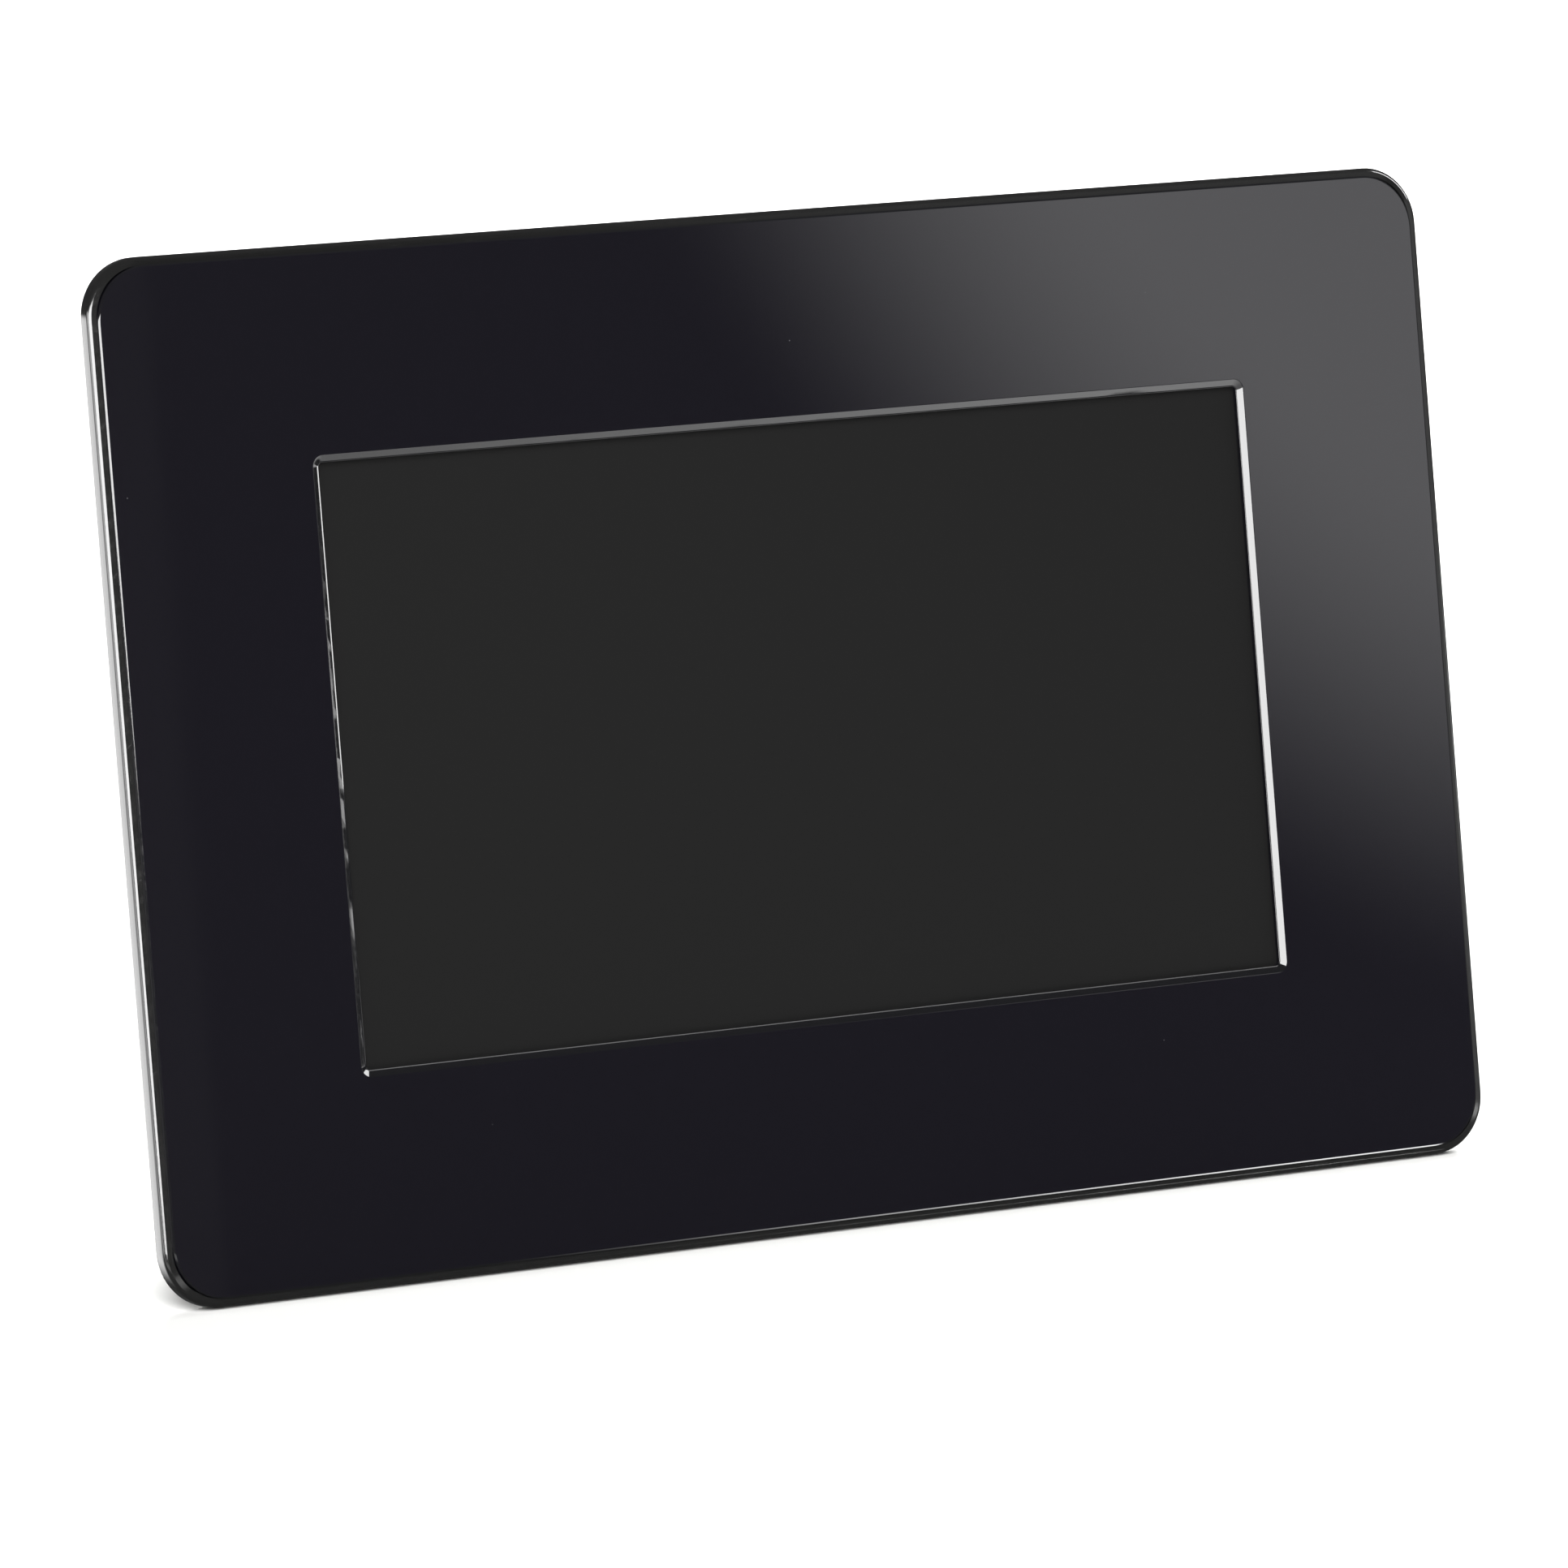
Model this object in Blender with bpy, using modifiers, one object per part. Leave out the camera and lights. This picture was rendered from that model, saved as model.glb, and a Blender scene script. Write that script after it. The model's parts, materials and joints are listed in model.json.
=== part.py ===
"""Seven-inch digital photo frame, standing on its lower edge and a fold-out leg.

Each piece is one object. They are modelled flat, in the frame's own directions: X to the
right, Y up the screen, Z out of the screen towards the viewer, with the front face at Z = 0.
Depth is measured backwards from the front face, so a depth of d lies at Z = -d.
The empty "stance" then stands the whole frame up and leans it back. Units are metres.
"""

import math

import bmesh
import bpy
from mathutils import Matrix, Vector

# Stance
LEAN = math.radians(16)
LEG_OPENING = math.radians(35)

# Clearance kept between pieces that touch or slide
GAP = 0.0003

# Front panel: a glossy acrylic sheet that stands a little proud of the bezel around it
FACE_WIDTH = 0.2202
FACE_HEIGHT = 0.1464
FACE_RADIUS = 0.0078
FACE_STEP = 0.00035
FACE_ROUND = 0.0002

# Front bezel: the moulded frame that the front panel is bonded into
BEZEL_WIDTH = 0.2226
BEZEL_HEIGHT = 0.1485
BEZEL_RADIUS = 0.0085
BEZEL_DEPTH = 0.0033
EDGE_ROUND = 0.00045
BEZEL_WALL = 0.0020
RIM_WIDTH = 0.0018

# Screen opening and its polished bevel
SCREEN_WIDTH = 0.1541
SCREEN_HEIGHT = 0.0866
BEVEL_WIDTH = 0.0010
BEVEL_DEPTH = 0.0006
PANEL_THICKNESS = 0.0010
MOUTH_RADIUS = 0.0020
THROAT_RADIUS = 0.0008

# Display module, from the glass back to the metal tray
GLASS_WIDTH = 0.1620
GLASS_HEIGHT = 0.0960
GLASS_THICKNESS = 0.0010
SHEET_THICKNESS = 0.0002
GUIDE_THICKNESS = 0.0018
TRAY_WIDTH = 0.1656
TRAY_HEIGHT = 0.1008
TRAY_WALL = 0.0005
STUD_HEIGHT = 0.0023
STUD_RADIUS = 0.0025
MODULE_PLAY = 0.0004
WINDOW_WIDTH = 0.1572
WINDOW_HEIGHT = 0.0920
GUIDE_HEIGHT = 0.0880
GUIDE_Y = 0.0010
LED_BAR_WIDTH = 0.1500
LED_BAR_HEIGHT = 0.0020
RIBBON_WIDTH = 0.0280
RIBBON_THICKNESS = 0.0003

# Rear cover
COVER_WIDTH = 0.1820
COVER_HEIGHT = 0.1200
COVER_RADIUS = 0.0060
COVER_WALL = 0.0020
COVER_BACK = 0.0200
COVER_ROUND = 0.0024
POST_X = 0.0800
POST_Y = 0.0542
COVER_PLACES = tuple((i * POST_X, j * POST_Y) for i in (-1, 1) for j in (-1, 1))
COVER_BOSS_RADIUS = 0.0030
COVER_POST_RADIUS = 0.0042
WELL_RADIUS = 0.0028
WELL_FLOOR = 0.0164
VENTS_PER_SIDE = 12
VENT_FIRST_X = 0.0300
VENT_PITCH = 0.0040
VENT_Y = -0.0440
VENT_WIDTH = 0.0014
VENT_HEIGHT = 0.0140
LABEL_X = -0.0520
LABEL_Y = 0.0080
LABEL_WIDTH = 0.0560
LABEL_HEIGHT = 0.0280
LABEL_MARGIN = 0.0005

# Fold-out leg, its recess in the cover and its pin
PIVOT_Y = 0.0380
PIVOT_DEPTH = 0.0172
BARREL_RADIUS = 0.0030
LEG_THICKNESS = 0.0034
LEG_TOP_WIDTH = 0.0320
LEG_SHOULDER = 0.0120
LEG_FOOT_WIDTH = 0.0260
RECESS_WIDTH = 0.0330
RECESS_WALL = 0.0018
HINGE_POCKET = 0.0100
PIN_RADIUS = 0.0012
PIN_HALF_LENGTH = 0.0195
PAD_WIDTH = 0.0240
PAD_LENGTH = 0.0042
PAD_HEIGHT = 0.0025

# Keys, in one row on the back
KEY_NAMES = ("key_menu", "key_left", "key_up", "key_down", "key_right", "key_enter")
KEY_FIRST_X = 0.0340
KEY_PITCH = 0.0087
KEY_Y = 0.0440
KEY_WIDTH = 0.0066
KEY_HEIGHT = 0.0044
KEY_PROUD = 0.0012
KEY_RADIUS = 0.0012
KEY_FLANGE_WIDTH = 0.0078
KEY_FLANGE_HEIGHT = 0.0056
KEY_ROW_X = KEY_FIRST_X + KEY_PITCH * (len(KEY_NAMES) - 1) / 2
KEY_POST_OFFSET = 0.0286
KEY_POST_PLACES = tuple((KEY_ROW_X + side * KEY_POST_OFFSET, KEY_Y) for side in (-1, 1))
KEY_POST_RADIUS = 0.0025
KEYBOARD_WIDTH = 0.0620
KEYBOARD_HEIGHT = 0.0090
TACT_WIDTH = 0.0045
TACT_HEIGHT = 0.0021

# Main board and the sockets along its right edge
BOARD_THICKNESS = 0.0016
BOARD_LEFT = -0.0460
BOARD_RIGHT = 0.0880
BOARD_BOTTOM = -0.0310
BOARD_TOP = 0.0370
BOARD_HOLES = ((-0.0400, -0.0250), (-0.0400, 0.0310), (0.0720, -0.0270), (0.0720, 0.0330))
CONNECTOR_BOTTOM = -0.0241
CONNECTOR_WIDTH = 0.0290
CONNECTOR_HEIGHT = 0.0050
CONNECTOR_THICKNESS = 0.0015
CARD_Y = 0.0160
CARD_DEPTH = 0.0280
CARD_WIDTH = 0.0260
CARD_THICKNESS = 0.0029
USB_Y = -0.0030
USB_DEPTH = 0.0092
USB_WIDTH = 0.0077
USB_THICKNESS = 0.0039
DC_Y = -0.0150
DC_DEPTH = 0.0110
DC_WIDTH = 0.0080
DC_THICKNESS = 0.0065
DC_BARREL_RADIUS = 0.0019
DC_PIN_RADIUS = 0.00065
SWITCH_Y = -0.0260
SWITCH_DEPTH = 0.0036
SWITCH_WIDTH = 0.0086
SWITCH_SETBACK = 0.0005
KNOB_WIDTH = 0.0022
KNOB_THICKNESS = 0.0018
KNOB_PROUD = 0.0012
SWITCH_TRAVEL = 0.0020

# Brackets that clamp the display module to the bezel
BRACKET_X = 0.0860
BRACKET_SCREW_Y = 0.0220
BRACKET_PLACES = tuple((i * BRACKET_X, j * BRACKET_SCREW_Y) for i in (-1, 1) for j in (-1, 1))
BRACKET_MIDDLE_X = 0.0822
BRACKET_WIDTH = 0.0120
BRACKET_HEIGHT = 0.0560
BRACKET_THICKNESS = 0.0006
BRACKET_BOSS_RADIUS = 0.0025

# Screws, each as head radius, head height, shank radius and length, and the holes for them
BRACKET_SCREW = (0.0020, 0.0011, 0.0010, 0.0030)
BOARD_SCREW = (0.0022, 0.0014, 0.0010, 0.0034)
KEYBOARD_SCREW = (0.0020, 0.0012, 0.0010, 0.0042)
COVER_SCREW = (0.0024, 0.0016, 0.0012, 0.0090)
SMALL_BORE_RADIUS = 0.0013
BOARD_HOLE_RADIUS = 0.0014
COVER_BORE_RADIUS = 0.0015
COVER_HOLE_RADIUS = 0.0016

# Depths worked out from the sizes above
PANEL_SEAT = PANEL_THICKNESS + GAP
GLASS_FRONT = PANEL_SEAT
GLASS_BACK = GLASS_FRONT + GLASS_THICKNESS
SHEET_FRONT = GLASS_BACK + GAP
GUIDE_FRONT = SHEET_FRONT + SHEET_THICKNESS + GAP
GUIDE_BACK = GUIDE_FRONT + GUIDE_THICKNESS
TRAY_FLOOR = GUIDE_BACK + GAP
TRAY_BACK = TRAY_FLOOR + TRAY_WALL
BRACKET_FRONT = TRAY_BACK + 0.0002
BRACKET_BORE_END = BEZEL_WALL + 0.0005
COVER_BORE_END = BEZEL_WALL + 0.0025
BOARD_FRONT = TRAY_BACK + STUD_HEIGHT + GAP
BOARD_BACK = BOARD_FRONT + BOARD_THICKNESS
PARTS_FRONT = BOARD_BACK + GAP
COVER_FRONT = BEZEL_WALL + GAP
COVER_INSIDE = COVER_BACK - COVER_WALL
INNER_WIDTH = COVER_WIDTH - 2 * COVER_WALL
INNER_HEIGHT = COVER_HEIGHT - 2 * COVER_WALL
WALL_INSIDE_X = INNER_WIDTH / 2
SOCKET_FACE_X = WALL_INSIDE_X - GAP
RECESS_FLOOR = COVER_BACK - LEG_THICKNESS - 0.0004
LEG_FRONT = RECESS_FLOOR + GAP
POCKET_FLOOR = PIVOT_DEPTH - BARREL_RADIUS - GAP
POST_FRONT = 0.0139
KEYBOARD_FRONT = 0.0114
KEYBOARD_BACK = 0.0126
KEY_BORE_END = 0.0162
KEY_FLANGE_FRONT = 0.0170
KEY_FLANGE_BACK = COVER_INSIDE - GAP

# Segments on round shapes
ARC_STEPS = 8
ROUND_SEGMENTS = 24
SMALL_SEGMENTS = 16
SMOOTH_ANGLE = math.radians(35)
THROUGH = 0.0020


def clear_scene():
    """Remove every object, so that the file holds only this model."""
    for old in list(bpy.data.objects):
        bpy.data.objects.remove(old)


def new_collection(name):
    """A collection linked into the scene."""
    group = bpy.data.collections.new(name)
    bpy.context.scene.collection.children.link(group)
    return group


def linear(channel):
    """One sRGB channel, 0 to 1, as a linear value."""
    if channel <= 0.04045:
        return channel / 12.92
    return ((channel + 0.055) / 1.055) ** 2.4


def finish(name, colour, roughness, metallic=0.0):
    """A Principled material from an sRGB hex colour."""
    material = bpy.data.materials.new(name)
    material.use_nodes = True
    shader = material.node_tree.nodes["Principled BSDF"]
    red, green, blue = (linear(int(colour[i:i + 2], 16) / 255) for i in (0, 2, 4))
    shader.inputs["Base Color"].default_value = (red, green, blue, 1)
    shader.inputs["Roughness"].default_value = roughness
    shader.inputs["Metallic"].default_value = metallic
    return material


def mesh_from(bm, name):
    """A mesh with welded corners and faces that point out."""
    bmesh.ops.remove_doubles(bm, verts=bm.verts, dist=0.000001)
    bmesh.ops.recalc_face_normals(bm, faces=bm.faces)
    mesh = bpy.data.meshes.new(name)
    bm.to_mesh(mesh)
    bm.free()
    mesh.shade_smooth()
    mesh.set_sharp_from_angle(angle=SMOOTH_ANGLE)
    return mesh


def rounded_outline(width, height, radius, steps=ARC_STEPS):
    """The points of a rounded rectangle, counter-clockwise from the upper right corner."""
    points = []
    for corner, (side, level) in enumerate(((1, 1), (-1, 1), (-1, -1), (1, -1))):
        centre_x = side * (width / 2 - radius)
        centre_y = level * (height / 2 - radius)
        for step in range(steps + 1):
            angle = math.radians(90) * (corner + step / steps)
            points.append((centre_x + radius * math.cos(angle), centre_y + radius * math.sin(angle)))
    return points


def plate(name, points, front, back):
    """A flat outline given its thickness, between two depths."""
    curve = bpy.data.curves.new(name, "CURVE")
    curve.dimensions = "2D"
    curve.fill_mode = "BOTH"
    curve.extrude = (back - front) / 2
    spline = curve.splines.new("POLY")
    spline.points.add(len(points) - 1)
    for point, (x, y) in zip(spline.points, points):
        point.co = (x, y, 0, 1)
    spline.use_cyclic_u = True
    outline = bpy.data.objects.new(name, curve)
    bpy.context.scene.collection.objects.link(outline)
    evaluated = outline.evaluated_get(bpy.context.evaluated_depsgraph_get())
    filled = bpy.data.meshes.new_from_object(evaluated)
    bm = bmesh.new()
    bm.from_mesh(filled)
    bpy.data.objects.remove(outline)
    bpy.data.meshes.remove(filled)
    bmesh.ops.translate(bm, verts=bm.verts, vec=(0, 0, -(front + back) / 2))
    return mesh_from(bm, name)


def rounded_plate(name, width, height, radius, front, back):
    """A rounded rectangle between two depths."""
    return plate(name, rounded_outline(width, height, radius), front, back)


def boxes(name, blocks):
    """Boxes in one mesh: each is (x, y, width, height, front, back)."""
    bm = bmesh.new()
    for x, y, width, height, front, back in blocks:
        size = Matrix.Diagonal((width, height, back - front, 1))
        place = Matrix.Translation((x, y, -(front + back) / 2))
        bmesh.ops.create_cube(bm, size=1, matrix=place @ size)
    return mesh_from(bm, name)


def posts(name, places, radius, front, back, segments=ROUND_SEGMENTS):
    """Cylinders along the depth, in one mesh, at each (x, y)."""
    bm = bmesh.new()
    for x, y in places:
        place = Matrix.Translation((x, y, -(front + back) / 2))
        bmesh.ops.create_cone(
            bm, cap_ends=True, segments=segments,
            radius1=radius, radius2=radius, depth=back - front, matrix=place)
    return mesh_from(bm, name)


def rod(name, radius, left, right, y, depth, segments=ROUND_SEGMENTS):
    """A cylinder along X."""
    bm = bmesh.new()
    place = Matrix.Translation(((left + right) / 2, y, -depth))
    turn = Matrix.Rotation(math.radians(90), 4, "Y")
    bmesh.ops.create_cone(
        bm, cap_ends=True, segments=segments,
        radius1=radius, radius2=radius, depth=right - left, matrix=place @ turn)
    return mesh_from(bm, name)


def loft(name, sections):
    """A closed body through outlines of equal count, each (points, depth), front to back."""
    bm = bmesh.new()
    rings = []
    for points, depth in sections:
        rings.append([bm.verts.new((x, y, -depth)) for x, y in points])
    for ring, following in zip(rings, rings[1:]):
        for i in range(len(ring)):
            j = (i + 1) % len(ring)
            bm.faces.new((ring[i], ring[j], following[j], following[i]))
    bm.faces.new(rings[0])
    bm.faces.new(rings[-1])
    return mesh_from(bm, name)


def screw_profile(name, head_radius, head_height, shank_radius, length):
    """A pan-head screw turned about Z, with the underside of its head at Z = 0."""
    dome = head_height * 0.35
    outline = (
        (0.0, head_height),
        (head_radius * 0.6, head_height - dome * 0.25),
        (head_radius, head_height - dome),
        (head_radius, 0.0),
        (shank_radius, 0.0),
        (shank_radius, -length + shank_radius),
        (0.0, -length),
    )
    bm = bmesh.new()
    verts = [bm.verts.new((x, 0, z)) for x, z in outline]
    for first, second in zip(verts, verts[1:]):
        bm.edges.new((first, second))
    mesh = bpy.data.meshes.new(name)
    bm.to_mesh(mesh)
    bm.free()
    return mesh


class Model:
    """The two collections, and the empties that place the pieces."""

    def __init__(self):
        self.parts = new_collection("digital_photo_frame")
        self.cutters = new_collection("cutters")
        self.stance = self.add_empty("stance", None)
        self.leg_hinge = self.add_empty("leg_hinge", self.stance)
        self.leg_hinge.location = (0, PIVOT_Y, -PIVOT_DEPTH)
        self.leg_hinge.rotation_euler = (LEG_OPENING, 0, 0)
        self.stance.rotation_euler = (math.radians(90) - LEAN, 0, 0)

    def add_empty(self, name, parent):
        """An empty that carries pieces."""
        empty = bpy.data.objects.new(name, None)
        empty.parent = parent
        self.parts.objects.link(empty)
        return empty

    def piece(self, name, mesh, material, parent=None, location=(0, 0, 0)):
        """A finished piece of the frame."""
        obj = bpy.data.objects.new(name, mesh)
        mesh.materials.append(material)
        obj.parent = parent or self.stance
        obj.location = location
        self.parts.objects.link(obj)
        return obj

    def cutter(self, mesh, parent=None, location=(0, 0, 0)):
        """A shape that only cuts or joins, and is not a piece."""
        obj = bpy.data.objects.new(mesh.name, mesh)
        obj.parent = parent or self.stance
        obj.location = location
        obj.hide_render = True
        obj.display_type = "WIRE"
        self.cutters.objects.link(obj)
        return obj


def combine(target, tool, operation):
    """Join a tool to the target, or cut it out, with the exact solver."""
    modifier = target.modifiers.new(tool.name, "BOOLEAN")
    modifier.operation = operation
    modifier.solver = "EXACT"
    modifier.object = tool


def cut(target, tool):
    """Take the tool's shape out of the target."""
    combine(target, tool, "DIFFERENCE")


def join(target, tool):
    """Make the tool's shape part of the target."""
    combine(target, tool, "UNION")


def round_edges(obj, width, segments=2):
    """Round every edge sharper than the smoothing angle."""
    modifier = obj.modifiers.new("rounded_edges", "BEVEL")
    modifier.width = width
    modifier.segments = segments
    modifier.limit_method = "ANGLE"
    modifier.angle_limit = SMOOTH_ANGLE


def round_back_edges(obj, depth, width, segments):
    """Round only the outline that lies at one depth."""
    bm = bmesh.new()
    bm.from_mesh(obj.data)
    weight = bm.edges.layers.float.new("bevel_weight_edge")
    for edge in bm.edges:
        on_back = all(abs(vert.co.z + depth) < GAP for vert in edge.verts)
        sharp = edge.is_manifold and edge.calc_face_angle() > SMOOTH_ANGLE
        edge[weight] = 1.0 if on_back and sharp else 0.0
    bm.to_mesh(obj.data)
    bm.free()
    modifier = obj.modifiers.new("rounded_back", "BEVEL")
    modifier.width = width
    modifier.segments = segments
    modifier.limit_method = "WEIGHT"


def build_front_panel(model):
    """The glossy sheet in front, with its polished bevel round the screen opening."""
    panel = model.piece("front_panel", rounded_plate(
        "front_panel", FACE_WIDTH, FACE_HEIGHT, FACE_RADIUS, 0, PANEL_THICKNESS),
        finish("gloss_black_acrylic", "1b1b1f", 0.05))
    round_edges(panel, FACE_ROUND, 2)
    slope = BEVEL_WIDTH / BEVEL_DEPTH
    flare = 2 * slope * (BEVEL_DEPTH + GAP)
    mouth = rounded_outline(SCREEN_WIDTH + flare, SCREEN_HEIGHT + flare, MOUTH_RADIUS)
    throat = rounded_outline(SCREEN_WIDTH, SCREEN_HEIGHT, THROAT_RADIUS)
    cut(panel, model.cutter(loft("opening", (
        (mouth, -GAP), (throat, BEVEL_DEPTH), (throat, PANEL_THICKNESS + THROUGH)))))


def build_front_bezel(model):
    """The moulded frame: its rim, the seat for the front panel, and screw bosses behind."""
    rim = rounded_plate(
        "front_bezel", BEZEL_WIDTH, BEZEL_HEIGHT, BEZEL_RADIUS, FACE_STEP, BEZEL_DEPTH)
    bezel = model.piece("front_bezel", rim, finish("satin_black_abs", "262626", 0.3))
    round_edges(bezel, EDGE_ROUND, 3)
    cut(bezel, model.cutter(rounded_plate(
        "panel_seat", FACE_WIDTH + 2 * GAP, FACE_HEIGHT + 2 * GAP, FACE_RADIUS + GAP,
        -THROUGH, PANEL_SEAT)))
    cut(bezel, model.cutter(rounded_plate(
        "bezel_hollow", BEZEL_WIDTH - 2 * RIM_WIDTH, BEZEL_HEIGHT - 2 * RIM_WIDTH,
        BEZEL_RADIUS - RIM_WIDTH, BEZEL_WALL, BEZEL_DEPTH + THROUGH)))
    cut(bezel, model.cutter(boxes("module_opening", [(
        0, 0, TRAY_WIDTH + 2 * MODULE_PLAY, TRAY_HEIGHT + 2 * MODULE_PLAY,
        0, BEZEL_DEPTH + THROUGH)])))
    boss_root = BEZEL_WALL * 0.75
    join(bezel, model.cutter(posts(
        "cover_bosses", COVER_PLACES, COVER_BOSS_RADIUS, boss_root, POST_FRONT - GAP)))
    join(bezel, model.cutter(posts(
        "bracket_bosses", BRACKET_PLACES, BRACKET_BOSS_RADIUS, boss_root, BRACKET_FRONT - GAP)))
    cut(bezel, model.cutter(posts(
        "cover_bores", COVER_PLACES, COVER_BORE_RADIUS, COVER_BORE_END, COVER_INSIDE,
        SMALL_SEGMENTS)))
    cut(bezel, model.cutter(posts(
        "bracket_bores", BRACKET_PLACES, SMALL_BORE_RADIUS, BRACKET_BORE_END, COVER_INSIDE,
        SMALL_SEGMENTS)))


def build_display(model):
    """The display module: glass, frame, sheets, lamp bar and metal tray."""
    model.piece("lcd_glass", boxes("lcd_glass", [(
        0, 0, GLASS_WIDTH, GLASS_HEIGHT, GLASS_FRONT, GLASS_BACK)]),
        finish("matte_polariser", "272727", 0.5))
    inner_width = TRAY_WIDTH - 2 * TRAY_WALL
    inner_height = TRAY_HEIGHT - 2 * TRAY_WALL
    frame = model.piece("lcd_mold_frame", boxes("lcd_mold_frame", [(
        0, 0, inner_width - 2 * GAP, inner_height - 2 * GAP, SHEET_FRONT, GUIDE_BACK)]),
        finish("white_polycarbonate", "e8e8e4", 0.5))
    cut(frame, model.cutter(boxes("lcd_window", [(
        0, 0, WINDOW_WIDTH, WINDOW_HEIGHT, 0, BOARD_FRONT)])))
    model.piece("diffuser_sheet", boxes("diffuser_sheet", [(
        0, 0, WINDOW_WIDTH - 3 * GAP, WINDOW_HEIGHT - 3 * GAP, SHEET_FRONT,
        SHEET_FRONT + SHEET_THICKNESS)]), finish("diffuser_film", "f4f4f0", 0.7))
    model.piece("light_guide", boxes("light_guide", [(
        0, GUIDE_Y, WINDOW_WIDTH - 4 * GAP, GUIDE_HEIGHT, GUIDE_FRONT, GUIDE_BACK)]),
        finish("clear_acrylic", "f0f6f6", 0.1))
    bar_y = GUIDE_Y - GUIDE_HEIGHT / 2 - GAP - LED_BAR_HEIGHT / 2
    model.piece("led_bar", boxes("led_bar", [(
        0, bar_y, LED_BAR_WIDTH, LED_BAR_HEIGHT, GUIDE_FRONT, GUIDE_BACK)]),
        finish("led_strip_white", "e9e5cf", 0.6))
    tray = model.piece("lcd_tray", boxes("lcd_tray", [(
        0, 0, TRAY_WIDTH, TRAY_HEIGHT, GLASS_FRONT, TRAY_BACK)]),
        finish("zinc_plated_steel", "b9bcbe", 0.35, 1.0))
    cut(tray, model.cutter(boxes("tray_inside", [(
        0, 0, inner_width, inner_height, 0, TRAY_FLOOR)])))
    join(tray, model.cutter(posts(
        "tray_studs", BOARD_HOLES, STUD_RADIUS, TRAY_FLOOR + TRAY_WALL / 2,
        TRAY_BACK + STUD_HEIGHT)))
    cut(tray, model.cutter(posts(
        "stud_bores", BOARD_HOLES, SMALL_BORE_RADIUS, TRAY_BACK + 0.0004, BOARD_BACK,
        SMALL_SEGMENTS)))
    cut(tray, model.cutter(boxes("ribbon_notch", [(
        0, -TRAY_HEIGHT / 2, RIBBON_WIDTH + 0.0020, 4 * TRAY_WALL, 0, GUIDE_FRONT + 0.0005)])))


def build_brackets(model):
    """Two steel straps and their screws, holding the module against the bezel."""
    back = BRACKET_FRONT + BRACKET_THICKNESS
    holes = model.cutter(posts(
        "bracket_holes", BRACKET_PLACES, SMALL_BORE_RADIUS, 0, BOARD_FRONT, SMALL_SEGMENTS))
    for name, side in (("lcd_bracket_left", -1), ("lcd_bracket_right", 1)):
        strap = model.piece(name, boxes(name, [(
            side * BRACKET_MIDDLE_X, 0, BRACKET_WIDTH, BRACKET_HEIGHT, BRACKET_FRONT, back)]),
            finish(name, "c3c6c8", 0.35, 1.0))
        cut(strap, holes)
    for number, (x, y) in enumerate(BRACKET_PLACES, start=1):
        add_screw(model, f"bracket_screw_{number}", x, y, back + GAP, BRACKET_SCREW)


def add_screw(model, name, x, y, seat, sizes, turned=False):
    """A screw whose head lies behind its seat, or before it when it is turned round."""
    mesh = screw_profile(name, *sizes)
    screw = model.piece(name, mesh, finish(name, "4a4c50", 0.35, 1.0), None, (x, y, -seat))
    if not turned:
        screw.rotation_euler = (math.pi, 0, 0)
    turning = screw.modifiers.new("turned", "SCREW")
    turning.angle = math.radians(360)
    turning.steps = SMALL_SEGMENTS
    turning.render_steps = SMALL_SEGMENTS
    turning.use_merge_vertices = True
    turning.merge_threshold = 0.00001
    turning.use_smooth_shade = True


def ribbon(model, name, path, centre_x, width, thickness, material):
    """A flat cable: a strip along points given as (y, depth), with its thickness added."""
    curve = bpy.data.curves.new(name, "CURVE")
    curve.dimensions = "3D"
    curve.extrude = width / 2
    spline = curve.splines.new("POLY")
    spline.points.add(len(path) - 1)
    for point, (y, depth) in zip(spline.points, path):
        point.co = (y, -depth, 0, 1)
    outline = bpy.data.objects.new(name, curve)
    bpy.context.scene.collection.objects.link(outline)
    evaluated = outline.evaluated_get(bpy.context.evaluated_depsgraph_get())
    strip = bpy.data.meshes.new_from_object(evaluated)
    bm = bmesh.new()
    bm.from_mesh(strip)
    bpy.data.objects.remove(outline)
    bpy.data.meshes.remove(strip)
    upright = Matrix(((0, 0, 1, centre_x), (1, 0, 0, 0), (0, 1, 0, 0), (0, 0, 0, 1)))
    bmesh.ops.transform(bm, matrix=upright, verts=bm.verts)
    cable = model.piece(name, mesh_from(bm, name), material)
    wall = cable.modifiers.new("thickness", "SOLIDIFY")
    wall.thickness = thickness
    wall.offset = 0


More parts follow.
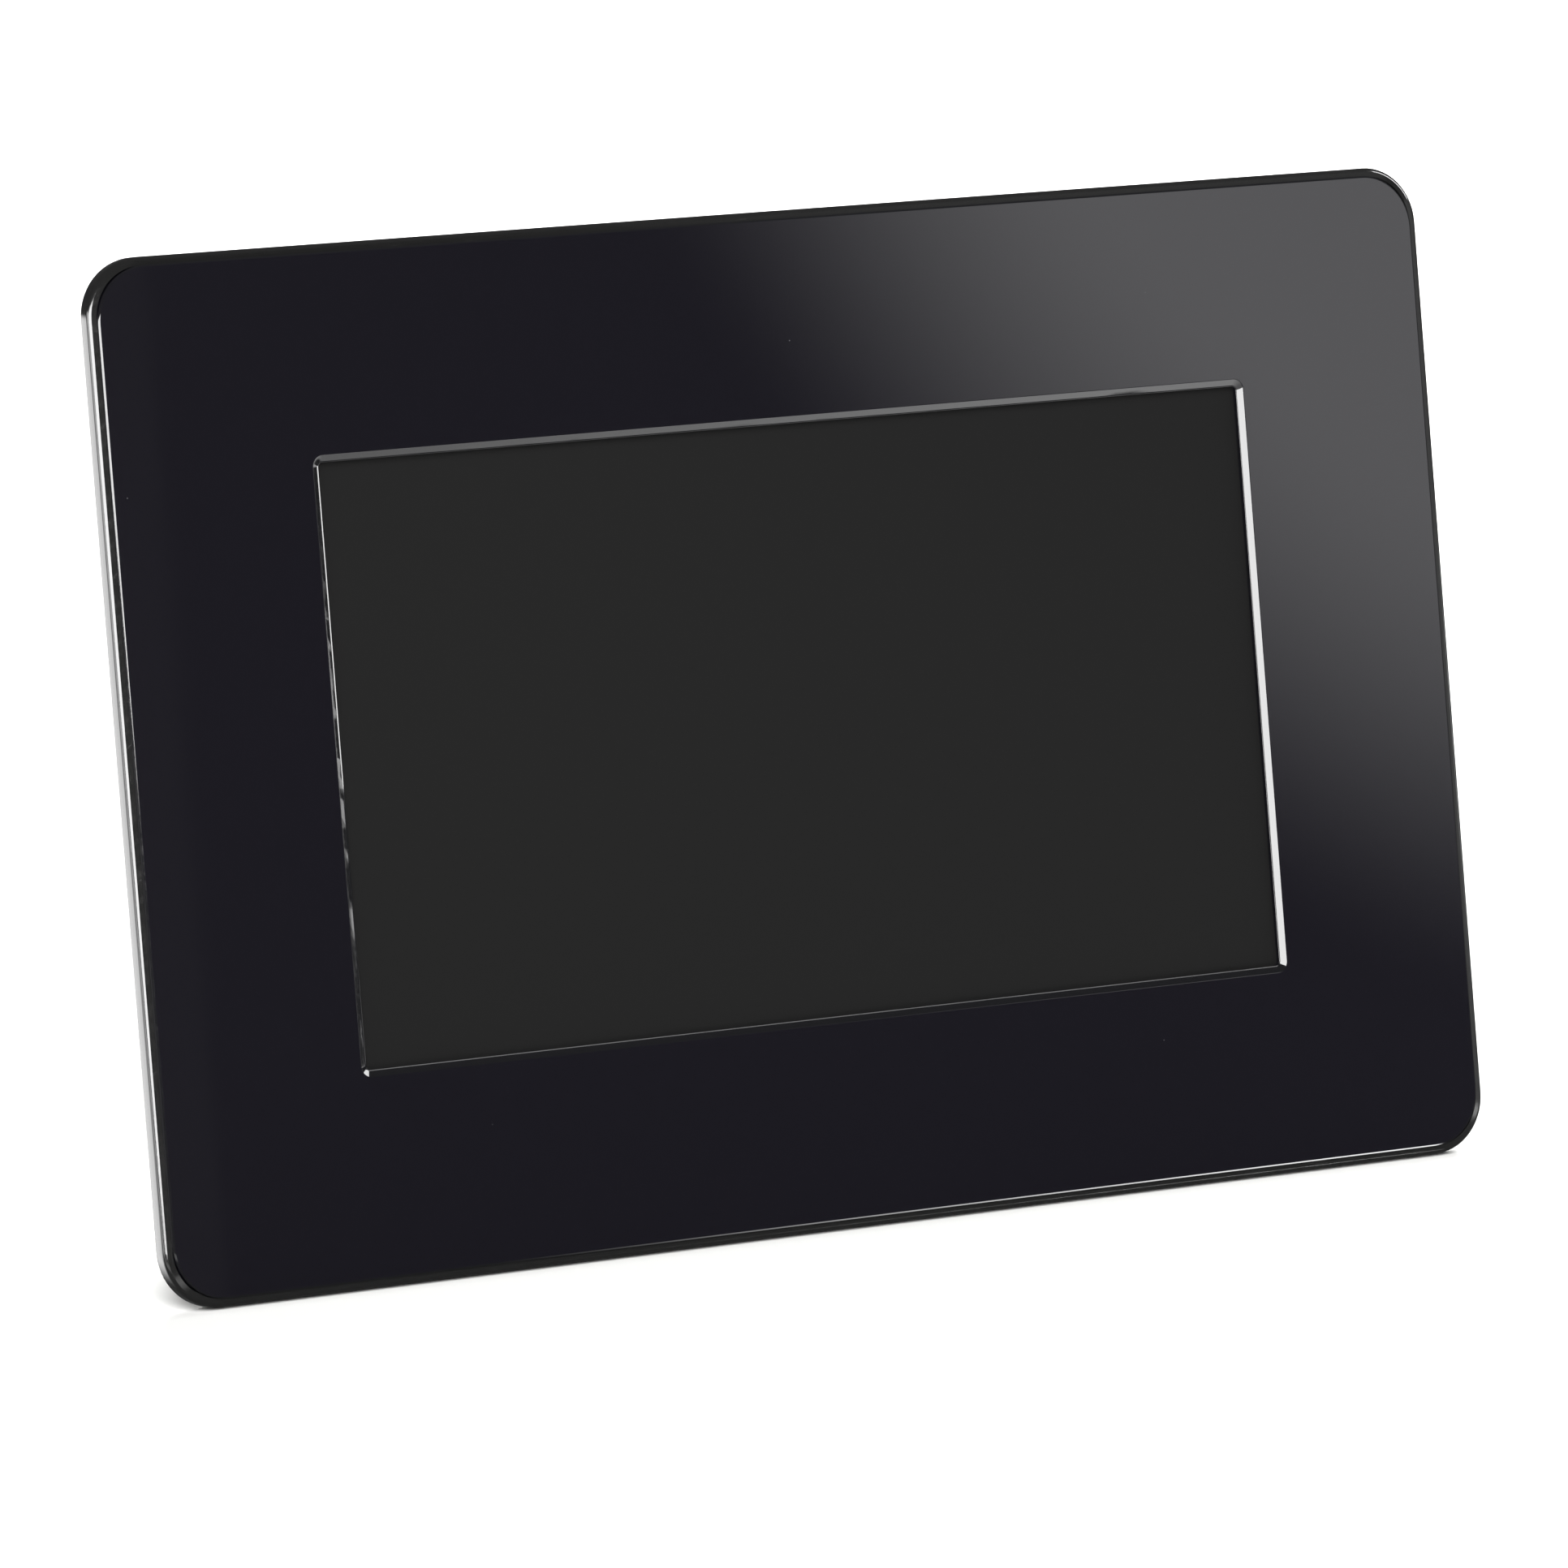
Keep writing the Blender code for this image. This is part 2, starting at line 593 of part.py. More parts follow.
def build_main_board(model):
    """The main board on the tray's studs, with its chips, connector and flat cable."""
    centre_x = (BOARD_LEFT + BOARD_RIGHT) / 2
    centre_y = (BOARD_BOTTOM + BOARD_TOP) / 2
    board = model.piece("main_board", boxes("main_board", [(
        centre_x, centre_y, BOARD_RIGHT - BOARD_LEFT, BOARD_TOP - BOARD_BOTTOM,
        BOARD_FRONT, BOARD_BACK)]), finish("green_fibreglass", "1f5a36", 0.45))
    cut(board, model.cutter(posts(
        "board_holes", BOARD_HOLES, BOARD_HOLE_RADIUS, 0, COVER_BACK, SMALL_SEGMENTS)))
    for number, (x, y) in enumerate(BOARD_HOLES, start=1):
        add_screw(model, f"board_screw_{number}", x, y, PARTS_FRONT, BOARD_SCREW)
    chips = (
        ("processor_chip", -0.0100, 0.0050, 0.0200, 0.0200, 0.0014, "232325"),
        ("memory_chip", 0.0140, 0.0050, 0.0100, 0.0200, 0.0010, "28282a"),
        ("flash_chip", -0.0340, 0.0050, 0.0120, 0.0180, 0.0010, "28282a"),
        ("power_coil", 0.0480, -0.0190, 0.0100, 0.0100, 0.0045, "3a3a3c"),
    )
    for name, x, y, width, height, thickness, colour in chips:
        chip = model.piece(name, boxes(name, [(
            x, y, width, height, PARTS_FRONT, PARTS_FRONT + thickness)]),
            finish(name, colour, 0.55))
        round_edges(chip, 0.0002, 1)
    for number, y in ((1, -0.0120), (2, -0.0220)):
        name = f"capacitor_{number}"
        can = model.piece(name, posts(
            name, [(0.0620, y)], 0.00315, PARTS_FRONT, PARTS_FRONT + 0.0054),
            finish(name, "c9ccd0", 0.3, 1.0))
        round_edges(can, 0.0003, 2)
    connector_back = BOARD_FRONT - GAP
    connector_front = connector_back - CONNECTOR_THICKNESS
    model.piece("ribbon_connector", boxes("ribbon_connector", [(
        0, CONNECTOR_BOTTOM + CONNECTOR_HEIGHT / 2, CONNECTOR_WIDTH, CONNECTOR_HEIGHT,
        connector_front, connector_back)]), finish("ivory_nylon", "ded8c6", 0.5))
    run_depth = 0.0071
    path = (
        (-GLASS_HEIGHT / 2 - GAP, 0.00175), (-0.0496, 0.00185), (-0.0503, 0.0023),
        (-0.0510, 0.0030), (-0.0515, 0.0038), (-0.0517, 0.0050), (-0.0514, 0.0060),
        (-0.0507, 0.0067), (-0.0496, run_depth), (-0.0380, run_depth),
        (CONNECTOR_BOTTOM - GAP, run_depth),
    )
    ribbon(
        model, "lcd_ribbon", path, 0, RIBBON_WIDTH, RIBBON_THICKNESS,
        finish("amber_polyimide", "a8642a", 0.35))


def build_sockets(model):
    """The card, USB and DC sockets, facing the right wall."""
    card_back = PARTS_FRONT + CARD_THICKNESS
    card = model.piece("card_socket", boxes("card_socket", [(
        SOCKET_FACE_X - CARD_DEPTH / 2, CARD_Y, CARD_DEPTH, CARD_WIDTH, PARTS_FRONT, card_back)]),
        finish("nickel_shell", "b4b6b8", 0.3, 1.0))
    cut(card, model.cutter(boxes("card_slot", [(
        SOCKET_FACE_X - 0.0110, CARD_Y, 0.0260, CARD_WIDTH - 0.0018,
        PARTS_FRONT + 0.0004, card_back - 0.0003)])))
    usb_back = PARTS_FRONT + USB_THICKNESS
    usb = model.piece("usb_socket", boxes("usb_socket", [(
        SOCKET_FACE_X - USB_DEPTH / 2, USB_Y, USB_DEPTH, USB_WIDTH, PARTS_FRONT, usb_back)]),
        finish("nickel_shell_usb", "b4b6b8", 0.3, 1.0))
    mouth = model.cutter(boxes("usb_mouth", [(
        SOCKET_FACE_X - 0.0020, USB_Y, 0.0120, 0.0068, PARTS_FRONT + 0.0004, usb_back - 0.0004)]))
    cut(mouth, model.cutter(boxes("usb_tongue", [(
        SOCKET_FACE_X - 0.0052, USB_Y, 0.0090, 0.0044, PARTS_FRONT + 0.0016, usb_back - 0.0016)])))
    cut(usb, mouth)
    dc_depth = PARTS_FRONT + DC_THICKNESS / 2
    socket = model.piece("dc_socket", boxes("dc_socket", [(
        SOCKET_FACE_X - DC_DEPTH / 2, DC_Y, DC_DEPTH, DC_WIDTH,
        PARTS_FRONT, PARTS_FRONT + DC_THICKNESS)]), finish("black_nylon", "1d1d1f", 0.5))
    barrel = model.cutter(rod(
        "dc_barrel", DC_BARREL_RADIUS, SOCKET_FACE_X - 0.0090, SOCKET_FACE_X + 0.0010,
        DC_Y, dc_depth))
    cut(barrel, model.cutter(rod(
        "dc_pin", DC_PIN_RADIUS, SOCKET_FACE_X - 0.0100, SOCKET_FACE_X - 0.0008,
        DC_Y, dc_depth, SMALL_SEGMENTS)))
    cut(socket, barrel)


def build_power_switch(model):
    """The slide switch behind the right wall, and the knob that reaches out through it."""
    face_x = SOCKET_FACE_X - SWITCH_SETBACK
    body = model.piece("power_switch_body", boxes("power_switch_body", [(
        face_x - SWITCH_DEPTH / 2, SWITCH_Y, SWITCH_DEPTH, SWITCH_WIDTH,
        PARTS_FRONT, PARTS_FRONT + SWITCH_DEPTH)]), finish("switch_shell", "a9acae", 0.35, 1.0))
    round_edges(body, 0.0002, 1)
    left = face_x + GAP
    right = COVER_WIDTH / 2 + KNOB_PROUD
    knob = model.piece("power_switch_knob", boxes("power_switch_knob", [(
        0, 0, right - left, KNOB_WIDTH, -KNOB_THICKNESS / 2, KNOB_THICKNESS / 2)]),
        finish("black_nylon_knob", "202022", 0.5), None,
        ((left + right) / 2, SWITCH_Y - SWITCH_TRAVEL / 2, -PARTS_FRONT - SWITCH_DEPTH / 2))
    round_edges(knob, 0.0003, 2)


def build_key_board(model):
    """The key board, its screws, and the flat cable that joins it to the main board."""
    board = model.piece("key_board", boxes("key_board", [(
        KEY_ROW_X, KEY_Y, KEYBOARD_WIDTH, KEYBOARD_HEIGHT, KEYBOARD_FRONT, KEYBOARD_BACK)]),
        finish("green_fibreglass_keys", "1f5a36", 0.45))
    cut(board, model.cutter(posts(
        "key_board_holes", KEY_POST_PLACES, BOARD_HOLE_RADIUS, 0, COVER_INSIDE, SMALL_SEGMENTS)))
    for number, (x, y) in enumerate(KEY_POST_PLACES, start=1):
        add_screw(
            model, f"key_board_screw_{number}", x, y, KEYBOARD_FRONT - GAP, KEYBOARD_SCREW,
            turned=True)
    path = (
        (0.0320, 0.01035), (0.0345, 0.0104), (0.0375, 0.0108), (0.0400, 0.0110),
        (0.0440, 0.0110),
    )
    ribbon(
        model, "key_board_cable", path, 0.0460, 0.0120, RIBBON_THICKNESS,
        finish("white_flat_cable", "e4e4e0", 0.45))


def build_keys(model):
    """Six push switches on the key board, and the flanged caps that press them."""
    body_front = KEYBOARD_BACK + GAP
    body_back = body_front + TACT_HEIGHT
    cap_thickness = COVER_BACK + KEY_PROUD - KEY_FLANGE_FRONT
    for number, name in enumerate(KEY_NAMES, start=1):
        x = KEY_FIRST_X + KEY_PITCH * (number - 1)
        switch_name = f"tact_switch_{number}"
        switch = model.piece(switch_name, boxes(switch_name, [(
            x, KEY_Y, TACT_WIDTH, TACT_WIDTH, body_front, body_back)]),
            finish(switch_name, "2b2b2d", 0.5))
        join(switch, model.cutter(posts(
            f"plunger_{number}", [(x, KEY_Y)], 0.0010, body_back - GAP, body_back + 0.0006,
            SMALL_SEGMENTS)))
        place = (x, KEY_Y, -KEY_FLANGE_FRONT)
        outline = rounded_outline(KEY_WIDTH, KEY_HEIGHT, KEY_RADIUS, 4)
        cap = model.piece(
            name, plate(name, outline, 0, cap_thickness), finish(name, "1e1e20", 0.45), None, place)
        round_edges(cap, 0.0004, 2)
        join(cap, model.cutter(boxes(f"flange_{number}", [(
            0, 0, KEY_FLANGE_WIDTH, KEY_FLANGE_HEIGHT, 0, KEY_FLANGE_BACK - KEY_FLANGE_FRONT)]),
            None, place))


def build_back_cover(model):
    """The rear shell: leg recess, hinge block, screw wells, ports, keys and vents."""
    outside = rounded_plate(
        "back_cover", COVER_WIDTH, COVER_HEIGHT, COVER_RADIUS, COVER_FRONT, COVER_BACK)
    cover = model.piece("back_cover", outside, finish("textured_black_abs", "252527", 0.6))
    round_back_edges(cover, COVER_BACK, COVER_ROUND, 4)
    cavity = model.cutter(rounded_plate(
        "cavity", INNER_WIDTH, INNER_HEIGHT, COVER_RADIUS - COVER_WALL,
        COVER_FRONT - THROUGH, COVER_INSIDE))
    recess_top = PIVOT_Y + HINGE_POCKET / 2
    bottom = -COVER_HEIGHT / 2 - THROUGH
    block_width = RECESS_WIDTH + 2 * RECESS_WALL
    pocket_block = (
        0, PIVOT_Y, 2 * PIN_HALF_LENGTH + 0.0030, HINGE_POCKET + 2 * RECESS_WALL,
        POCKET_FLOOR - RECESS_WALL, COVER_BACK)
    recess_block = (
        0, (bottom + recess_top) / 2, block_width, recess_top - bottom + 2 * RECESS_WALL,
        RECESS_FLOOR - RECESS_WALL, COVER_BACK)
    cut(cavity, model.cutter(boxes("recess_block", [recess_block])))
    cut(cavity, model.cutter(boxes("hinge_block", [pocket_block])))
    cut(cavity, model.cutter(posts(
        "cover_posts", COVER_PLACES, COVER_POST_RADIUS, POST_FRONT, COVER_BACK)))
    cut(cavity, model.cutter(posts(
        "key_posts", KEY_POST_PLACES, KEY_POST_RADIUS, KEYBOARD_BACK + GAP, COVER_BACK)))
    cut(cover, cavity)
    cut(cover, model.cutter(boxes("leg_recess", [(
        0, (bottom + recess_top) / 2, RECESS_WIDTH, recess_top - bottom,
        RECESS_FLOOR, COVER_BACK + THROUGH)])))
    cut(cover, model.cutter(boxes("hinge_pocket", [(
        0, PIVOT_Y, RECESS_WIDTH, HINGE_POCKET, POCKET_FLOOR, COVER_BACK + THROUGH)])))
    pin_reach = PIN_HALF_LENGTH + GAP
    cut(cover, model.cutter(rod(
        "pin_hole", PIN_RADIUS + GAP, -pin_reach, pin_reach, PIVOT_Y, PIVOT_DEPTH)))
    cut(cover, model.cutter(posts(
        "screw_holes", COVER_PLACES, COVER_HOLE_RADIUS, POST_FRONT - THROUGH, COVER_BACK,
        SMALL_SEGMENTS)))
    cut(cover, model.cutter(posts(
        "screw_wells", COVER_PLACES, WELL_RADIUS, WELL_FLOOR, COVER_BACK + THROUGH)))
    cut(cover, model.cutter(posts(
        "key_post_bores", KEY_POST_PLACES, SMALL_BORE_RADIUS, COVER_FRONT, KEY_BORE_END,
        SMALL_SEGMENTS)))
    key_holes = [(
        KEY_FIRST_X + KEY_PITCH * number, KEY_Y, KEY_WIDTH + 2 * GAP, KEY_HEIGHT + 2 * GAP,
        COVER_INSIDE - THROUGH / 2, COVER_BACK + THROUGH) for number in range(len(KEY_NAMES))]
    cut(cover, model.cutter(boxes("key_holes", key_holes)))
    build_cover_ports(model, cover)
    vents = [(
        side * (VENT_FIRST_X + VENT_PITCH * number), VENT_Y, VENT_WIDTH, VENT_HEIGHT,
        COVER_INSIDE - THROUGH / 2, COVER_BACK + THROUGH)
        for side in (-1, 1) for number in range(VENTS_PER_SIDE)]
    cut(cover, model.cutter(boxes("vent_slots", vents)))
    cut(cover, model.cutter(boxes("label_pocket", [(
        LABEL_X, LABEL_Y, LABEL_WIDTH + 2 * LABEL_MARGIN, LABEL_HEIGHT + 2 * LABEL_MARGIN,
        COVER_BACK - 0.0005, COVER_BACK + THROUGH)])))
    model.piece("rating_label", boxes("rating_label", [(
        LABEL_X, LABEL_Y, LABEL_WIDTH, LABEL_HEIGHT, COVER_BACK - 0.0002, COVER_BACK)]),
        finish("blank_label", "c9cacc", 0.5))
    for number, (x, y) in enumerate(COVER_PLACES, start=1):
        add_screw(model, f"cover_screw_{number}", x, y, WELL_FLOOR + GAP, COVER_SCREW)


def build_cover_ports(model, cover):
    """The openings in the right wall, one in front of each socket."""
    middle_x = (WALL_INSIDE_X + COVER_WIDTH / 2) / 2
    reach = COVER_WALL + THROUGH
    knob_front = PARTS_FRONT + (SWITCH_DEPTH - KNOB_THICKNESS) / 2
    ports = [
        (middle_x, CARD_Y, reach, CARD_WIDTH - 0.0012, PARTS_FRONT, PARTS_FRONT + CARD_THICKNESS),
        (middle_x, USB_Y, reach, USB_WIDTH - GAP, PARTS_FRONT, PARTS_FRONT + USB_THICKNESS - GAP),
        (middle_x, SWITCH_Y, reach, KNOB_WIDTH + SWITCH_TRAVEL + 0.0008,
         knob_front - GAP, knob_front + KNOB_THICKNESS + GAP),
    ]
    cut(cover, model.cutter(boxes("side_ports", ports)))
    cut(cover, model.cutter(rod(
        "dc_port", DC_BARREL_RADIUS + 0.0006, middle_x - reach / 2, middle_x + reach / 2,
        DC_Y, PARTS_FRONT + DC_THICKNESS / 2)))


def build_stand(model):
    """The leg on its pin, cut level at the foot, with its rubber pad."""
    hinge = model.leg_hinge
    back = LEG_FRONT + LEG_THICKNESS - PIVOT_DEPTH
    front = LEG_FRONT - PIVOT_DEPTH
    height = stance_height() + PIVOT_Y * math.cos(LEAN) - PIVOT_DEPTH * math.sin(LEAN)
    slant = LEG_OPENING - LEAN
    reach = height / math.cos(slant)
    end = -reach - THROUGH
    outline = (
        (LEG_TOP_WIDTH / 2, 0), (-LEG_TOP_WIDTH / 2, 0), (-LEG_TOP_WIDTH / 2, -LEG_SHOULDER),
        (-LEG_FOOT_WIDTH / 2, end), (LEG_FOOT_WIDTH / 2, end), (LEG_TOP_WIDTH / 2, -LEG_SHOULDER),
    )
    leg = model.piece(
        "stand_leg", plate("stand_leg", outline, front, back),
        finish("textured_black_abs_leg", "252527", 0.55), hinge)
    round_edges(leg, 0.0005, 2)
    barrel = rod("leg_barrel", BARREL_RADIUS, -LEG_TOP_WIDTH / 2, LEG_TOP_WIDTH / 2, 0, 0, 32)
    join(leg, model.cutter(barrel, hinge))
    bore = rod("leg_bore", PIN_RADIUS + GAP, -LEG_TOP_WIDTH, LEG_TOP_WIDTH, 0, 0)
    cut(leg, model.cutter(bore, hinge))
    along = Vector((0, math.sin(slant), -math.cos(slant)))
    across = Vector((0, math.cos(slant), math.sin(slant)))
    middle = across * ((front + back) / 2)
    pad_top = middle + along * ((height + middle.z - PAD_HEIGHT) / math.cos(slant))
    upright = math.radians(90) - LEAN + LEG_OPENING
    to_hinge = Matrix.Rotation(-upright, 4, "X")
    foot_cut = model.cutter(boxes("foot_cut", [(
        0, 0, 2 * LEG_TOP_WIDTH, 2 * LEG_TOP_WIDTH, -GAP, LEG_TOP_WIDTH)]), hinge)
    foot_cut.location = to_hinge @ pad_top
    foot_cut.rotation_euler = (-upright, 0, 0)
    cut(leg, foot_cut)
    pad = model.piece("leg_foot_pad", boxes("leg_foot_pad", [(
        0, 0, PAD_WIDTH, PAD_LENGTH, 0, PAD_HEIGHT)]),
        finish("black_rubber", "19191a", 0.85), hinge)
    pad.location = to_hinge @ pad_top
    pad.rotation_euler = (-upright, 0, 0)
    round_edges(pad, 0.0003, 1)
    pin = model.piece(
        "stand_pin", rod("stand_pin", PIN_RADIUS, -PIN_HALF_LENGTH, PIN_HALF_LENGTH, 0, 0),
        finish("bright_steel", "c8cbce", 0.25, 1.0), model.stance, (0, PIVOT_Y, -PIVOT_DEPTH))
    round_edges(pin, 0.0002, 1)


def stance_height():
    """The height of the face's middle when the rim's rear lower edge is on the floor."""
    upward = (BEZEL_HEIGHT / 2 - EDGE_ROUND) * math.cos(LEAN)
    rearward = (BEZEL_DEPTH - EDGE_ROUND) * math.sin(LEAN)
    return upward + rearward + EDGE_ROUND


def stand_up(model):
    """Place the leaning frame on the floor, with its footprint centred on the origin."""
    height = stance_height()
    front = -FACE_HEIGHT / 2 * math.sin(LEAN)
    pivot_y = PIVOT_Y * math.sin(LEAN) + PIVOT_DEPTH * math.cos(LEAN)
    pivot_z = height + PIVOT_Y * math.cos(LEAN) - PIVOT_DEPTH * math.sin(LEAN)
    slant = LEG_OPENING - LEAN
    middle = LEG_FRONT + LEG_THICKNESS / 2 - PIVOT_DEPTH
    drop = pivot_z + middle * math.sin(slant) - PAD_HEIGHT
    foot_y = pivot_y + middle * math.cos(slant) + drop * math.tan(slant)
    rear = foot_y + PAD_LENGTH / 2
    model.stance.location = (0, -(front + rear) / 2, height)


def main():
    """Build every piece and stand the frame up."""
    clear_scene()
    model = Model()
    stand_up(model)
    build_front_panel(model)
    build_front_bezel(model)
    build_display(model)
    build_brackets(model)
    build_main_board(model)
    build_sockets(model)
    build_power_switch(model)
    build_key_board(model)
    build_keys(model)
    build_back_cover(model)
    build_stand(model)


main()
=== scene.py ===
"""Looks of a seven-inch digital photo frame with a glossy black front.

Every piece is drawn in the frame's own directions, X to the right, Y up the screen and Z out
of the screen, with the glossy face at Z = 0, and is then stood up with the PANEL matrix.
The leg and its pad are drawn in the hinge's directions and placed with the LEG matrix.
Units are metres. A depth is measured backwards from the face.
"""

import json
import math

import bmesh
import bpy
from mathutils import Matrix, Vector, noise


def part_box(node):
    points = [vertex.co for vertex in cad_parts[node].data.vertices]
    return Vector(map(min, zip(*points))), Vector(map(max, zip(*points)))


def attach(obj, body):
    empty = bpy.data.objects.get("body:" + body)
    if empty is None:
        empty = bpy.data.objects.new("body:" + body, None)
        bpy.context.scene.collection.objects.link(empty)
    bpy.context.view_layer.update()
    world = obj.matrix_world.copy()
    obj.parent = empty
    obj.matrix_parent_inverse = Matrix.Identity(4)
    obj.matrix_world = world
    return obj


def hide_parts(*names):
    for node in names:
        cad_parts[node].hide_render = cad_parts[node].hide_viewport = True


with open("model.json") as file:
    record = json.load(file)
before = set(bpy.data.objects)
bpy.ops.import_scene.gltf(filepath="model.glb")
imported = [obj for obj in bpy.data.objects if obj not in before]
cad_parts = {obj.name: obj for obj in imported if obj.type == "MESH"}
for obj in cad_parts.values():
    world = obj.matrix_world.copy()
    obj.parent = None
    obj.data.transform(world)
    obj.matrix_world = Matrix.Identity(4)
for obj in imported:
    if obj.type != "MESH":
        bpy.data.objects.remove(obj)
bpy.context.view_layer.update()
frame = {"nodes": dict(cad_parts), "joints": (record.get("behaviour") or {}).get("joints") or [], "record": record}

MM = 0.001

# Camera: where it looks, from how far, and how it is turned
CAMERA_AIM = (-0.0056, -0.0088)
CAMERA_DISTANCE = 1.5711
CAMERA_HEADING = math.radians(30.96)
CAMERA_DROP = math.radians(16.22)
CAMERA_ROLL = math.radians(-3.66)
CAMERA_LENS = 248.4

# Lamps: name, kind, place, strength and size
LAMPS = (
    ("overhead_lamp", "AREA", (0.9, 1.0, 1.6), 75, 1.4),
    ("front_fill", "SUN", (-0.4, -0.8, 0.9), 4.2, math.radians(50)),
)

WORLD_IN_REFLECTIONS = 0.06

# Cards seen only in reflections, placed in the frame's own directions
SOFT_CARD = (0.896, 0.313, 1.0)
SOFT_CARD_RADII = (0.342, 0.473)
SOFT_CARD_GLOW = 2.01
SOFT_CARD_TOP = (0.16, 0.26)
SOFT_CARD_FLOOR = 0.14
SOFT_CARD_WIDENING = 0.869
SOFT_CARD_SIZE = 1.0
BRIGHT_OUTLINE = (
    (-1.44, 0.03, 1.2), (-1.08, -0.065, 1.2), (-1.03, -0.21, 1.2), (-0.62, -0.245, 1.2),
    (-0.27, -0.245, 1.2), (-0.18, 0.50, 1.2), (-0.60, 0.52, 1.2), (-1.05, 0.41, 1.2),
    (-1.44, 0.24, 1.2))
CORNER_OUTLINES = (
    ((1.09, 0.283, 0.045), (1.065, 0.27, 0.225), (1.017, 0.385, 0.276), (1.044, 0.407, 0.10)),
    ((1.044, 0.407, 0.10), (1.017, 0.385, 0.276), (0.91, 0.531, 0.379), (0.939, 0.581, 0.219)),
    ((0.939, 0.581, 0.219), (0.91, 0.531, 0.379), (0.748, 0.648, 0.506), (0.762, 0.731, 0.368)))
SIDE_OUTLINE = (
    (-1.50, -0.45, -0.45), (-1.50, -0.45, 1.15), (-1.50, 0.40, 1.15), (-1.50, 0.40, -0.45))
DIM_OUTLINE = ((1.15, -0.65, 1.05), (2.10, -0.65, 1.05), (2.10, 0.35, 1.05), (1.15, 0.35, 1.05))
PLAIN_CARDS = (
    ("bright_card", 20.0, (BRIGHT_OUTLINE,)),
    ("corner_card", 14.0, CORNER_OUTLINES),
    ("dim_card", 0.55, (DIM_OUTLINE,)),
    ("side_card", 7.0, (SIDE_OUTLINE,)),
)

# What shiny pieces mirror of the table: a base, and patches that are products of smooth
# steps, each with its axis, where it starts and stops, and its two values
SHEEN_BASE = 0.08
SHEEN_BEHIND = (
    ("X", -0.75, -0.55, 0.0, 4.4), ("X", -0.118, -0.110, 1.0, 0.0),
    ("Y", -0.045, -0.03, 0.0, 1.0), ("Y", 0.55, 0.80, 1.0, 0.0))
SHEEN_AHEAD = (("Y", -0.105, -0.070, 1.0, 0.0), ("X", -0.05, 0.18, 1.6, 3.6))
SHEEN_UNDER = (
    ("Y", -0.0446, -0.0444, 0.0, 1.0), ("Y", -0.0436, -0.0435, 1.0, 0.0),
    ("X", 0.1035, 0.106, 1.0, 0.0), ("X", -0.06, 0.10, 0.0, 16.0))

# Front panel: the polished chamfer round its edge and the bevel round the screen
PANEL_INSET = 0.15 * MM
CHAMFER_WIDTH = 0.26 * MM
CHAMFER_DEPTH = 0.175 * MM
BEVEL_WIDTH = 1.0 * MM
BURR_WIDTH = 0.16 * MM
BURR_HEIGHT = 0.075 * MM
BURR_FOOT = 0.504 * MM
BURR_RAGGED = 0.015 * MM
BURR_WORN = 0.06 * MM
BURR_WORN_OVER = 45 * MM
BURR_STEADIED = 0.7
SCREEN_OPENING = (154.1 * MM, 86.6 * MM)
STRAIGHT_RUNS = 60
FACE_RADIUS = 8.0 * MM
MOUTH_RADIUS = 1.6 * MM
THROAT_RADIUS = 0.7 * MM

# Rim of the bezel: a long strip sloping outwards, then a chamfer that curves over the edge
RIM_RADIUS = 8.5 * MM
RIM_CHAMFER_FOOT = 0.77 * MM
RIM_CHAMFER_STEP = 0.08 * MM
RIM_CHAMFER_SLOPES = (33, 31, 29.5, 28, 26.5)
RIM_SLOPE_TOP = 0.40 * MM
# Insets of the rim's outer rounding, each with its depth behind the chamfer's foot
RIM_ROUNDING = (
    (0, 0.45 * MM), (0, 0.33 * MM), (0.02 * MM, 0.24 * MM), (0.065 * MM, 0.145 * MM),
    (0.125 * MM, 0.065 * MM), (0.20 * MM, 0))
RIM_BACK_ROUND = 0.55 * MM
LIP_WIDTH = 1.8 * MM
LIP_DEPTH = 1.3 * MM

# Rear cover and what opens through it
COVER_RADIUS = 6.0 * MM
COVER_WALL = 2.0 * MM
COVER_ROUND = 2.4 * MM
COVER_POST = (80.0 * MM, 54.2 * MM)
BRACKET_SCREW = (86.0 * MM, 22.0 * MM)
KEY_POSTS = ((27.15 * MM, 44.0 * MM), (84.35 * MM, 44.0 * MM))
POST_FRONT = 13.9 * MM
KEY_POST_FRONT = 12.9 * MM
WELL_FLOOR = 16.4 * MM
RECESS_WIDTH = 33.0 * MM
RECESS_DEPTH = 3.8 * MM
HINGE_POCKET = 10.0 * MM
POCKET_DEPTH = 3.3 * MM
INNER_WALL = 1.8 * MM
VENTS_PER_SIDE = 12
VENT_FIRST = 30.0 * MM
VENT_PITCH = 4.0 * MM
VENT_Y = -44.0 * MM

# Fold-out leg
LEG_TOP_WIDTH = 32.0 * MM
LEG_FOOT_WIDTH = 26.0 * MM
LEG_SHOULDER = 12.0 * MM

# Screws: kind, how many, head radius and height, shank radius, length, head in front
SCREW_SETS = (
    ("cover_screw", 4, 2.4 * MM, 1.6 * MM, 1.2 * MM, 9.0 * MM, False),
    ("board_screw", 4, 2.2 * MM, 1.4 * MM, 1.0 * MM, 3.4 * MM, False),
    ("bracket_screw", 4, 2.0 * MM, 1.1 * MM, 1.0 * MM, 3.0 * MM, False),
    ("key_board_screw", 2, 2.0 * MM, 1.2 * MM, 1.0 * MM, 4.2 * MM, True),
)

# Chips: name, leads along each side, and sides that have leads
CHIPS = (("processor_chip", 32, 4), ("memory_chip", 20, 2), ("flash_chip", 16, 2))

CORNER_STEPS = 14
CORNER_SIGNS = ((1, 1), (-1, 1), (-1, -1), (1, -1))
SMOOTH_ANGLE = math.radians(32)
WELD = 0.001 * MM

KEYS = ["key_menu", "key_left", "key_up", "key_down", "key_right", "key_enter"]


# -------- places

